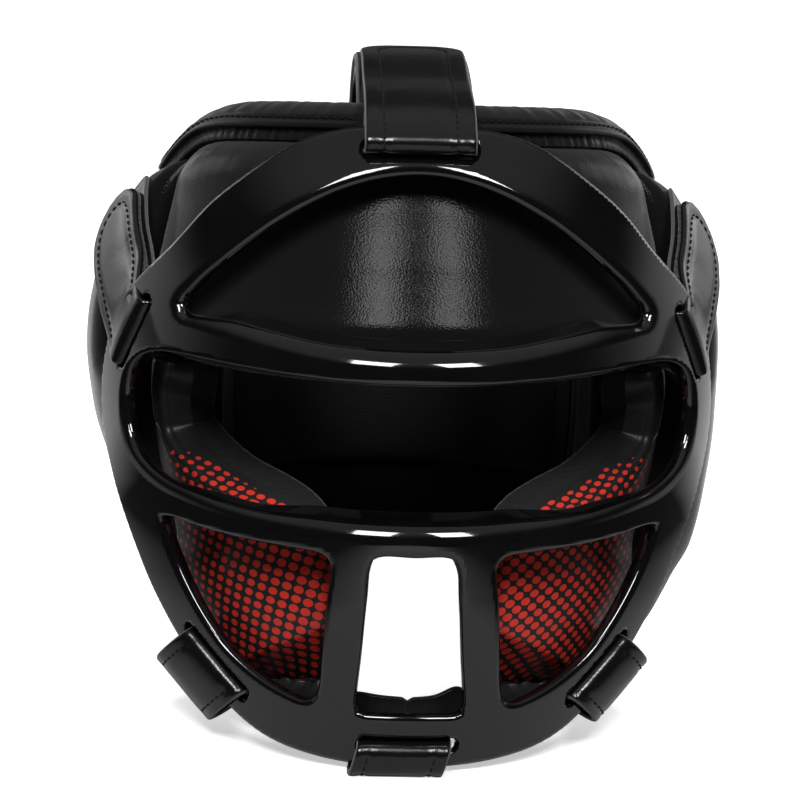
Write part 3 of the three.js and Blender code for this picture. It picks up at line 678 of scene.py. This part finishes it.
def cage_field(s, z, i):
    """Negative inside the cage: pattern place s and z, depth i from its outer surface."""
    phi = np.abs(s) / FLAT[0]
    wall, lift = CAGE_WALL, 0
    bars = (
        (brow_low, brow_high, BROW_FADE, 1),
        (middle_low, middle_high, MIDDLE_FADE, 1 - ramp(phi, *MIDDLE_CLIMB_FADE)),
    )
    for low, high, ends, climb in bars:
        above, fade = z - high(phi), 1 - ramp(phi, *ends)
        wall = wall + (RAIL_DEPTH - CAGE_WALL) * fade * ramp(z - low(phi), -7, 0) * (1 - ramp(above, 6, 15))
        lift = lift + RAIL_SLOPE * climb * fade * ramp(above, -5, -1) * (1 - ramp(above, 8, 20))
    edges, *holes = looked_up(s, z - lift * np.clip(i, 0, RAIL_DEPTH + 3))
    eye, mouth, cheek = (np.interp(z, *table) for table in (EYE_ROUND, MOUTH_ROUND, CHEEK_ROUND))
    field = fillet(-i, edges, EDGE_ROUND)
    for hole, radius in zip(holes, (FOREHEAD_ROUND, eye, mouth, cheek, SLOT_ROUND)):
        field = fillet(field, -hole, radius)
    return fillet(field, i - wall, BACK_ROUND)


def surface_net(field, low, step):
    """Quad mesh of a gridded field's zero surface, one point in each crossed cell."""
    inside = field < 0
    count = inside.astype(int)
    for axis in range(3):
        count = np.delete(count, -1, axis) + np.delete(count, 0, axis)
    cells = np.argwhere((count > 0) & (count < 8))
    number = np.full(count.shape, -1)
    number[tuple(cells.T)] = np.arange(len(cells))
    total, hits = np.zeros((len(cells), 3)), np.zeros(len(cells))
    faces, ways = [], np.eye(3, dtype=int)
    for axis, ahead in enumerate(ways):
        one, two = ways[axis - 2], ways[axis - 1]
        ring = [p * one + q * two for p, q in ((0, 0), (1, 0), (1, 1), (0, 1))]
        for corner in ring:
            a = cells + corner
            fa, fb = field[tuple(a.T)], field[tuple((a + ahead).T)]
            crossed = (fa < 0) != (fb < 0)
            share = np.where(crossed, fa / np.where(crossed, fa - fb, 1), 0)
            total[crossed] += (a + share[:, None] * ahead)[crossed]
            hits += crossed
        start = np.delete(inside, -1, axis)
        edges = np.argwhere(start != np.delete(inside, 0, axis))
        edges = edges[((edges + ahead > 0) & (edges < count.shape)).all(1)]
        quads = np.stack([number[tuple((edges - corner).T)] for corner in ring], -1)
        faces.append(np.where(start[tuple(edges.T)][:, None], quads, quads[:, ::-1]))
    return low + total / hits[:, None] * step, np.concatenate(faces)


def slopes(field, p, step=0.25):
    return np.stack([field(*(p + m).T) - field(*(p - m).T) for m in np.eye(3) * step], -1) / (2 * step)


def face_cage():
    """Cage wrapped from its flat pattern, with the exact normals of its field."""
    axes = [np.arange(a, b, c) for a, b, c in zip(NET_LOW, NET_HIGH, NET_STEP)]
    s, z = np.meshgrid(axes[0], axes[1], indexing="ij")
    grid = np.stack([cage_field(s, z, np.full(s.shape, i)) for i in axes[2]], -1)
    p, faces = surface_net(grid, NET_LOW, NET_STEP)
    for _ in range(3):
        g = slopes(cage_field, p)
        move = cage_field(*p.T)[:, None] * g / np.maximum((g * g).sum(1), 0.2)[:, None]
        p = p - np.clip(move, -0.7, 0.7)
    g = slopes(cage_field, p)
    at = lambda q: cage_point(q[:, 0] / FLAT[0], q[:, 1], q[:, 2])
    ps, pz, pi = ((at(p + m) - at(p - m)) / 0.2 for m in np.eye(3) * 0.1)
    normals = g[:, :1] * np.cross(pz, pi) + g[:, 1:2] * np.cross(pi, ps) + g[:, 2:] * np.cross(ps, pz)
    # wrapping turns the pattern inside out
    return (at(p), faces[:, ::-1], np.zeros(len(faces), int)), turned(-unit(normals))


cage_mesh, cage_normals = face_cage()
add("moulded_cage", cage_mesh, [CAGE_PLASTIC], "face_cage", normals=cage_normals)


# Padded leather shell


def flush(*place):
    """No padding, for the inner sheet of a panel."""
    return 0 * place[0]


def panel(columns, rows, angle, low, top, thick, climb=lambda v: v):
    """Panel on the head between two edges; thick takes angle, height and the distances from the edges."""
    def at(u, v, padding):
        psi = angle(u, v)
        z = low(psi) + (top(psi) - low(psi)) * climb(v)
        return head_point(psi, z, padding(psi, z, z - low(psi), top(psi) - z))

    return cushion(columns, rows, at, thick, flush)


PUCKER_SCALE = 1.9  # millimetres to a degree along the panels' seams


def gathered(height, value, period, seed, distance, reach):
    """Ripples that die away from a seam."""
    return height * waves(value, period, seed) * np.exp(-distance / reach)


def forehead_pad():
    reach, pad, (foot, climb) = FOREHEAD_REACH, smooth(FOREHEAD_PAD), FOREHEAD_FOOT

    def thick(psi, z, below, above):
        side = FOREHEAD_RADIUS * np.radians(reach - np.abs(psi))
        form = edge(side, 26) * edge(below, 13) * edge(above, 15)
        ripple = gathered(0.55, psi * PUCKER_SCALE, 7, 21, above, 5)
        ripple = ripple + gathered(0.5, below, 11, 22, side, 7)
        return pad(z) * (0.42 + 0.58 * form) + ripple * form

    low = lambda psi: foot + climb * (psi / reach) ** 2
    return panel(120, 56, lambda u, v: (2 * u - 1) * reach, low, panel_top, thick)


def side_pad(share):
    low, pad, swell = smooth(SIDE, 1), smooth(SIDE, 2), smooth(SIDE_SWELL, share)
    top = lambda psi: panel_top(psi) - SIDE_GAP
    off = lambda angle: SIDE_RADIUS * np.radians(angle)
    rows, heights = np.array(SIDE_CORNER).T
    front = SIDE_FRONT[0]
    ledge = low(front) + (top(front) - low(front)) * heights[1]

    def angle(u, v):
        start = np.interp(v, rows[1:3], SIDE_FRONT)
        return start + (SIDE_BACK - start) * u

    def thick(psi, z, below, above):
        behind = off(SIDE_BACK - psi)
        notch = np.hypot(off(np.maximum(psi - SIDE_FRONT[1], 0)), np.maximum(ledge - z, 0))
        form = edge(off(psi - front), 15) * edge(notch, 15) * edge(behind, 15) * edge(below, 18)
        crown = 0.7 + 0.3 * edge(above, 14)
        ripple = gathered(0.5, psi * PUCKER_SCALE, 8, 31, above, 6)
        ripple = ripple + gathered(0.1, z, 12, 32, notch, 7) + gathered(0.4, z, 12, 32, behind, 7)
        return pad(psi) * swell(z) * (0.5 + 0.5 * form) * crown + ripple * form

    return panel(84, 96, angle, low, top, thick, lambda v: np.interp(v, rows, heights))


def back_pad():
    foot, pad = smooth(BACK, 1), smooth(BACK, 2)
    turn = lambda psi: 180 - np.abs(psi - 180)
    angle = lambda u, v: BACK_START + 2 * (180 - BACK_START) * u

    def thick(psi, z, below, above):
        side = BACK_RADIUS * np.radians(turn(psi) - BACK_START)
        form = edge(side, 18) * edge(below, 18) * edge(above, 17)
        ripple = gathered(0.5, psi * PUCKER_SCALE, 8, 41, above, 6)
        ripple = ripple + gathered(0.4, z, 12, 42, side, 7)
        channel = 1.8 * np.exp(-((z - 120) / 2.2) ** 2) * edge(side - 14, 10) * (side > 14)
        return pad(turn(psi)) * (0.46 + 0.54 * form) + ripple * form - channel

    return panel(130, 70, angle, lambda psi: foot(turn(psi)), lambda psi: panel_top(turn(psi)), thick)


RIM_COLUMNS = 480
RIM_SCALE = 1.62  # millimetres to a degree along the rim
RIM_SEAM = (18.7, 1.15)  # outward and up from its centre line


def rolled_rim():
    """Roll, piping and puckered band round the open crown, stitched under the roll."""
    psi = np.linspace(-180, 180, RIM_COLUMNS, endpoint=False)
    section = spline(RIM_SECTION, 0.8, True)
    centre = rim_height(np.abs(psi))
    run = psi * RIM_SCALE
    rows = []
    for out, up in section:
        band = ramp(-up, 2.2, 3.4) * ramp(out, 13, 15)
        roll = ramp(up, 1.5, 4)
        pucker = band * (0.42 * waves(run, 4.3, 51) + 0.26 * waves(run, 2.1, 52))
        pucker = pucker * (1 - 0.7 * ramp(np.abs(psi), 46, 60))
        pucker = pucker + roll * (0.28 * waves(run, 9, 53) + 0.1 * waves(run, 3.1, 54))
        rows.append(head_point(psi, centre + up + 0.4 * pucker * ramp(up, -5.8, -3), out + pucker))
    points = np.stack(rows, 1).reshape(-1, 3)
    faces = sheet_faces(RIM_COLUMNS + 1, len(section), wrap=True) % len(points)
    seam = head_point(psi, centre + RIM_SEAM[1], RIM_SEAM[0])
    normals = head_point(psi, centre, 1) - head_point(psi, centre, 0)
    thread = stitches(seam, normals, 1, length=2.2, pitch=3.0, radius=0.3)
    return joined((points, faces, np.zeros(len(faces), int)), thread)


add("forehead_pad", forehead_pad(), [PAD_LEATHER], "forehead_panel")
add("crown_rim", rolled_rim(), [PAD_LEATHER, THREAD], "top_rim")
right, left = side_pad(1), mirrored(side_pad(2))
add("side_pad_right", right, [PAD_LEATHER], "side_panel_right")
add("side_pad_left", left, [PAD_LEATHER], "side_panel_left")
add("back_pad", back_pad(), [PAD_LEATHER], "back_panel")


# Cheek pads with the printed dots


CHEEK_SCALE = 1.85  # millimetres to a degree on the cheek pads
CHEEK_TOP = 131
CHEEK_DEPTH, CHEEK_SIDE_DEPTH = 17, 12
CHEEK_ROLL = 5  # radius at the outer edge
CHEEK_END = 4  # length of the rounded ends
CHEEK_ROWS = 110
# columns across a pad: inner wall, roll of the ridge, front, outer roll, back, and the lined end of the back
WALL, ROLL, FRONT, OUTER, BEHIND, LINED = 15, 10, 45, 6, 16, 9
LINED_ABOVE = 74  # height
# angle, radius of the dots over their spacing
DOT_SIZE = [(15, 0.46), (27, 0.4), (35, 0.37), (48, 0.325), (56, 0.25), (63, 0.09)]
# steps from dot to dot on the right and left pads, along and up
DOTS_RIGHT = ((3.1, -2.03), (3.6, 2.5))
DOTS_LEFT = ((4.9, 0.92), (-1.28, 3.2))


def cheek_hem():
    """Wavy edge of the leather folded under at the foot of a cheek pad."""
    def at(u, v, away):
        z = 18.4 + (9.4 - 2.4 * u) * v + 0.8 * v * waves(u * 55, 9, 61)
        inward = 13.4 + away + 5 * (1 - u) * v * v + 0.9 * waves(u * 55 + 6 * v, 8, 62)
        return cage_point(18 + 29 * u, z, inward)

    return cushion(40, 12, at, 0, 1.4)


def cheek_pad(name, node, mirror, lattice):
    """Pad with a rolled ridge round the eye and mouth, a lined wall behind it and a tucked foot."""
    outer_at, back, ridge_at = (smooth(CHEEK, k) for k in (1, 2, 3))
    low, high = CHEEK[0][0], CHEEK_TOP
    fine, spacing = np.linspace(low, high, 600), 0.4
    ridge = spline(np.stack([CHEEK_SCALE * ridge_at(fine), fine], 1)[::6], spacing)
    length = spacing * (len(ridge) - 1)
    along = np.gradient(ridge, axis=0)
    for _ in range(24):
        along[1:-1] = (along[:-2] + 2 * along[1:-1] + along[2:]) / 4
    turn = np.linspace(0, math.pi / 2, 6)
    ends = [(0, 0), (0, 0.3), (0, 0.6)]
    ends += [(CHEEK_END * (1 - math.cos(q)), 0.86 + 0.14 * math.sin(q)) for q in turn]
    levels = ends + [(d, 1) for d in np.linspace(CHEEK_END, length - CHEEK_END, CHEEK_ROWS)[1:-1]]
    levels += [(length - d, k) for d, k in ends[::-1]]
    at, shrink = np.array(levels).T
    even = np.linspace(0, length, len(ridge))
    edge_line, ahead = picked(at, even, ridge), picked(at, even, unit(along))
    inside = np.stack([ahead[:, 1], -ahead[:, 0]], 1)[:, None]
    far_z = low + (high - low) * at / length
    far = np.stack([CHEEK_SCALE * outer_at(far_z), far_z], 1)[:, None]
    here = edge_line[:, None]
    height = edge_line[:, 1]
    # beside the eyes the ridge rolls tighter and its wall leans more
    radius = (6.5 - 3.1 * ramp(height, 60, 80))[:, None]
    lean = (1 + 8 * ramp(height, 64, 84))[:, None]
    # each stretch of columns: its places and its depth behind the front
    share = np.linspace(0, 1, WALL, endpoint=False)
    wall_depth = CHEEK_DEPTH + (radius - CHEEK_DEPTH) * share
    wall = here - inside * (lean * (1 - share))[..., None]
    quarter = np.linspace(math.pi / 2, 0, ROLL)
    roll = here + inside * (radius * (1 - np.sin(quarter)))[..., None]
    roll_depth = radius * (1 - np.cos(quarter))
    start, stop = here + inside * radius[..., None], far - (CHEEK_ROLL, 0)
    step = np.linspace(0, 1, FRONT + 1)[1:]
    front = start + (stop - start) * step[:, None]
    bend = np.linspace(0, math.pi / 2, OUTER + 1)[1:]
    side = stop + np.stack([CHEEK_ROLL * np.sin(bend), 0 * bend], 1)
    behind_share = np.linspace(0, 1, BEHIND, endpoint=False)
    behind = far + (wall[:, :1] - far) * behind_share[:, None]
    flat_row = np.ones((len(at), 1))
    place = np.concatenate([wall, roll, front, side, behind], 1)
    depth = np.concatenate([
        wall_depth, roll_depth, flat_row * (0.6 * step - 1.1 * np.sin(math.pi * step)),
        flat_row * (0.6 + CHEEK_ROLL * (1 - np.cos(bend))),
        flat_row * (CHEEK_SIDE_DEPTH + (CHEEK_DEPTH - CHEEK_SIDE_DEPTH) * behind_share),
    ], 1)
    # the print, laid flat from the front over the ridge and down the wall
    rolled = WALL + ROLL
    past_wall = radius * math.pi / 2 + np.hypot(lean, CHEEK_DEPTH - radius) * (1 - share)
    past = np.concatenate([past_wall, radius * quarter, 0 * depth[:, rolled:]], 1)
    printed = np.concatenate([here + inside * (radius - past[:, :rolled])[..., None], place[:, rolled:]], 1)
    drawn_in = lambda row, share: row.mean(1, keepdims=True) * (1 - share) + row * share
    place, depth = drawn_in(place, shrink[:, None, None]), drawn_in(depth, shrink[:, None])
    phi, z = place[..., 0] / CHEEK_SCALE, place[..., 1]
    # the front is tucked in below a slanting fold
    fold = np.maximum(51 - 0.75 * (phi - 16) - z, 0)
    tuck = 10 * (1 - ramp(depth, 6, 16)) * (1 - np.exp(-(fold / 8) ** 1.4))
    points = cage_point(phi, z, back(z) + depth + tuck).reshape(-1, 3)
    faces = sheet_faces(*depth.shape, wrap=True)
    upper = height[:-1, None] > LINED_ABOVE
    marks = np.zeros((len(at) - 1, depth.shape[1]), int)
    marks[:, :WALL] = (wall_depth[:-1] > 10) & upper
    marks[:, -LINED:] = upper
    # the dots shrink in the fold and end at the top and on the wall
    size = smooth(DOT_SIZE)(printed[..., 0] / CHEEK_SCALE) - 0.08 * ramp(fold, 2, 14)
    size = size - 0.6 * ramp(printed[..., 1], 100, 105) - 0.6 * ramp(past, 9.5, 11)
    size[:, rolled + FRONT:] = -1
    flat = printed.reshape(-1, 2) @ np.linalg.inv(np.array(lattice))
    hem = cheek_hem()
    size = np.concatenate([size.ravel(), -np.ones(len(hem[0]))])
    flat = np.concatenate([flat, np.zeros((len(hem[0]), 2))])
    mesh = joined((points, faces, marks.ravel()), hem)
    if mirror:
        mesh = mirrored(mesh)
    made = add(name, mesh, [PRINTED, LINING], node)
    made.data.attributes.new("dot", "FLOAT", "POINT").data.foreach_set("value", size.astype(np.float32))
    loops = np.zeros(len(made.data.loops), np.int32)
    made.data.loops.foreach_get("vertex_index", loops)
    made.data.uv_layers.new(name="print").data.foreach_set("uv", flat[loops].astype(np.float32).ravel())


cheek_pad("cheek_pad_printed_right", "cheek_pad_right", False, DOTS_RIGHT)
cheek_pad("cheek_pad_printed_left", "cheek_pad_left", True, DOTS_LEFT)


# Straps


X_AXIS = (1, 0, 0)
LINING_GAP, LINING_ROUND = 0.8, 16
STRAP_SET = [STRAP_LEATHER, CUT_EDGE, THREAD, HOOKS]
middle = lambda line: [(0, y, z) for y, z in line]


def crown_strap():
    strap = Strap(middle(CROWN_STRAP), X_AXIS, 20.2, half_thick=2)
    end, seam = strap.run[-1] - 2.5, 16.4
    seams = [[(2, w), (end, w)] for w in (-seam, seam)]
    seams += [[(s, -seam), (s, seam)] for s in (end - 11.5, end)]
    return strap.sewn(seams, puff=1.4, crease=0.25)


def tongue_seam(half):
    """Both sides of a seam round a tongue from its right half of (run, across) points."""
    return [(s, -w) for s, w in half[:0:-1]] + half


def top_strap():
    strap = Strap(middle(TOP_STRAP), X_AXIS, 18.4, tip=9)
    end = strap.run[-1] - 16
    seam = tongue_seam([(5.2, 0), (6.4, 8), (11, 11.6), (24, 12), (60, 12), (end, 12)])
    return strap.sewn([seam], puff=0.3, crease=0.1)


def side_tab():
    """Stitched tongue over its hook-and-loop layer and the end of the base strap."""
    tail, slot = np.array(TAB_ACROSS)
    twist = lambda run: tail + (slot - tail) * ramp(run, 34, 58)[:, None]
    tongue = Strap(SIDE_TAB, twist, 14, tip=11)
    seam, puff = tongue_seam([(4.6, 0), (7, 7), (14, 9.6), (36, 10), (60, 10)]), 0.9
    points, faces, marks = tongue.mesh([seam], puff, crease=0.2)
    hooks = Strap(SIDE_TAB[:5], tail, 13.2, half_thick=0.7, tip=10, lift=-1.9).mesh()
    base = [TAB_BASE_TAIL, *SIDE_TAB[:5]]
    base = Strap(base, tail, 15.2, half_thick=0.8, tip=12, lift=-3.5).mesh()
    fuzzy = hooks[0], hooks[1], np.full(len(hooks[1]), 3)
    return joined((points, faces, 0 * marks), tongue.thread(seam, puff), fuzzy, base)


def lower_loop(reach):
    """Loop round the cage's lower edge, its run stretched by the given reach."""
    a, b, _ = SLOTS[3]
    start, end = cage_point(*a, 0), cage_point(*b, 0)
    along = unit(start - end)
    centre = cage_point(*np.add(a, b) / 2, 0)
    run = cage_point(*LOOP_AIM, 0) - centre
    run = unit(run - along * (run @ along))
    out = np.cross(run, along)
    run = run + along * LOOP_SHEAR
    line = [centre + run * r * reach + out * n for r, n in LOWER_LOOP]
    strap = Strap(line, along, 15, closed=True)
    return strap.sewn([[(2, w), (22, w)] for w in (-10.8, 10.8)], puff=0.2, crease=0.35)


def chin_loop():
    line = [(-1.4 - LOOP_SHEAR * (10.8 - z), y, z) for y, z in CHIN_LOOP]
    strap = Strap(line, X_AXIS, 15.6, closed=True)
    return strap.sewn([[(1, w), (18, w)] for w in (-11, 11)], crease=0.2)


def chin_strap():
    low, high = smooth(CHIN_STRAP, 1), smooth(CHIN_STRAP, 2)

    def at(u, v, sheet):
        depth, swell = sheet
        phi = (2 * u - 1) * CHIN_STRAP[-1][0]
        turn = np.abs(phi)
        # lifted beside the mouth opening, more on the right
        rise = 3.2 * np.exp(-((phi - 12.5) / 4) ** 2) + 0.8 * np.exp(-((phi + 12.5) / 4) ** 2)
        form = edge(v * 14, 4) * edge((1 - v) * 14, 4)
        seam = 0.9 * np.exp(-(phi / 0.7) ** 2)
        z = low(turn) + (high(turn) + rise - low(turn)) * v
        return cage_point(phi, z, 21 - 5 * v + depth + swell * (1 - form) + seam)

    return cushion(260, 16, at, (0, 1.5), (5, -1.5))


def lining(start, end, low, high, thick, edge_share, columns, rows):
    def at(u, v, depth):
        return head_point(start + (end - start) * u, low + (high - low) * v, -LINING_GAP - depth(u, v))

    def form(u, v):
        full = 1
        for share, length in ((u, 1.5 * (end - start)), (v, high - low)):
            full = full * edge(share * length, LINING_ROUND) * edge((1 - share) * length, LINING_ROUND)
        return thick * (edge_share + (1 - edge_share) * full)

    return cushion(columns, rows, at, flush, form)


add("crown_strap_leather", crown_strap(), STRAP_SET, "crown_strap")
add("top_strap_tail", top_strap(), STRAP_SET, "top_cage_strap")
tab = side_tab()
add("side_tab_stitched_right", tab, STRAP_SET, "side_tab_right")
add("side_tab_stitched_left", mirrored(tab), STRAP_SET, "side_tab_left")
add("lower_loop_stitched_right", lower_loop(1), STRAP_SET, "lower_loop_right")
add("lower_loop_stitched_left", mirrored(lower_loop(1.2)), STRAP_SET, "lower_loop_left")
add("chin_loop_stitched", chin_loop(), STRAP_SET, "chin_loop")
add("chin_strap_padded", chin_strap(), [PAD_LEATHER], "chin_strap")
side = lining(56, 116, 66, 178, thick=5, edge_share=0.3, columns=48, rows=60)
rear = lining(128, 232, 78, 182, thick=9, edge_share=0.25, columns=70, rows=60)
add("lining_cloth_right", side, [LINING], "lining_right")
add("lining_cloth_left", mirrored(side), [LINING], "lining_left")
add("lining_cloth_back", rear, [LINING], "lining_back")


# Studio


FLOOR_HALF = 9
VIEW = (6, 2.4, 1.4)  # elevation, yaw and roll, degrees
VIEW_AIM = np.array([-0.6, 0, 112])  # on the upright head
VIEW_DISTANCE = 1000
VIEW_FOCUS = 2732.2 / 800  # focal length over the width of the image
SENSOR = 36


def stood(made, axes, at):
    """Stands an object at a place with its own axes along the given ones."""
    made.matrix_world = Matrix([[*np.transpose(axes)[k], at[k]] for k in range(3)] + [[0, 0, 0, 1]])
    scene.collection.objects.link(made)


def studio():
    """Pale floor with painted light and shade: reflections see it darker beside and before the headgear and
    lighter behind it, and to the camera it glows.
    """
    made, tree, where = tree_of("studio_floor")
    x, y, _ = put(tree, "SeparateXYZ", Vector=where).outputs
    shown = put(tree, "LightPath").outputs["Is Camera Ray"]
    # painted shade and light seen only in reflections: the floor darker beside and before the headgear,
    # lighter behind it
    painted_floor_shade_and_light = between(tree, maths(tree, "ABSOLUTE", x), 0.1, 0.22, 0.7, 0.04)
    painted_floor_shade_and_light = maths(tree, "MAXIMUM", painted_floor_shade_and_light, between(tree, y, 0.06, 0.2, 0.0, 1.0))
    tone = maths(tree, "MAXIMUM", painted_floor_shade_and_light, shown)
    pale = colours(tree, tone, [(0.0, (0.0, 0.0, 0.0)), (1.0, (0.8, 0.8, 0.8))])
    # painted light: to the camera the floor glows at half strength before the headgear and at full strength
    # under and behind it, whitening the shade there
    glow = maths(tree, "MULTIPLY", between(tree, y, -0.1, 0.02, 0.5, 1.0), shown)
    finished(tree, Base_Color=pale, Roughness=0.9, Emission_Strength=glow, Emission_Color=(1, 1, 1, 1),
             Specular_IOR_Level=0.1)
    data = bpy.data.meshes.new("studio_floor")
    corners = [(x * FLOOR_HALF, y * FLOOR_HALF, 0) for x, y in ((-1, -1), (1, -1), (1, 1), (-1, 1))]
    data.from_pydata(corners, [], [(0, 1, 2, 3)])
    data.materials.append(made)
    floor = bpy.data.objects.new("studio_floor", data)
    scene.collection.objects.link(floor)


def softbox(name, at, target, size, power):
    data = bpy.data.lights.new(name, "AREA")
    data.shape = "RECTANGLE"
    data.size, data.size_y = size
    data.energy = power
    back = unit(np.array(at, float) - np.array(target, float))
    right = unit(np.cross((0, 0, 1), back))
    stood(bpy.data.objects.new(name, data), (right, np.cross(back, right), back), at)


def surroundings():
    """White to the camera; reflections see bright flanks behind and a soft light above."""
    world = bpy.data.worlds.new("studio")
    world.use_nodes = True
    tree = world.node_tree
    tree.nodes.clear()
    x, y, z = put(tree, "SeparateXYZ", Vector=put(tree, "TexCoord").outputs["Generated"]).outputs
    eased = lambda *values: between(tree, *values, "SMOOTHSTEP")
    sweep = eased(y, -0.45, 0.7, 0.0, 1.1)
    low = eased(z, 0.2, 0.45, 1.0, 0.0)
    flank = eased(maths(tree, "ABSOLUTE", x), 0.1, 0.4, 0.05, 1.0)
    above = eased(z, 0.6, 0.9, 0.0, 0.45)
    glow = maths(tree, "MULTIPLY_ADD", sweep, maths(tree, "MULTIPLY", low, flank), 0.05)
    glow = maths(tree, "ADD", glow, above)
    shown = put(tree, "LightPath").outputs["Is Camera Ray"]
    level = put(tree, "Mix", {"data_type": "FLOAT"}, i0=shown, i2=glow, i3=0.9).outputs[0]
    background = put(tree, "Background", Strength=level)
    put(tree, "OutputWorld", Surface=background.outputs[0])
    scene.world = world


def camera():
    """Camera of the photograph: a little above the face and towards -X, rolled slightly."""
    elevation, yaw, roll = (math.radians(v) for v in VIEW)
    level, rise = math.cos(elevation), math.sin(elevation)
    back = np.array([-math.sin(yaw) * level, -math.cos(yaw) * level, rise])
    right = np.array([math.cos(yaw), -math.sin(yaw), 0])
    up = np.cross(back, right)
    across = right * math.cos(roll) + up * math.sin(roll)
    upward = up * math.cos(roll) - right * math.sin(roll)
    data = bpy.data.cameras.new("camera")
    data.sensor_width, data.lens = SENSOR, SENSOR * VIEW_FOCUS
    data.clip_start, data.clip_end = 0.05, 50
    made = bpy.data.objects.new("camera", data)
    stood(made, turned(np.stack([across, upward, back])), placed(VIEW_AIM + back * VIEW_DISTANCE))
    bpy.context.scene.camera = made


FRONT_AIM, SIDE_AIM = (0, -0.05, 0.12), (0, 0.02, 0.12)
studio()
surroundings()
camera()
softbox("front_left", (-0.301, -1.035, 1.346), FRONT_AIM, (0.36, 0.52), 19)
softbox("front_right", (0.399, -1.0, 1.346), FRONT_AIM, (0.31, 0.52), 16.5)
softbox("side_left", (-1.0, 0.75, 0.7), SIDE_AIM, (0.5, 0.7), 2)
softbox("side_right", (1.0, 0.75, 0.7), SIDE_AIM, (0.5, 0.7), 2)
scene.view_settings.view_transform = "Standard"
scene.cycles.use_denoising = True
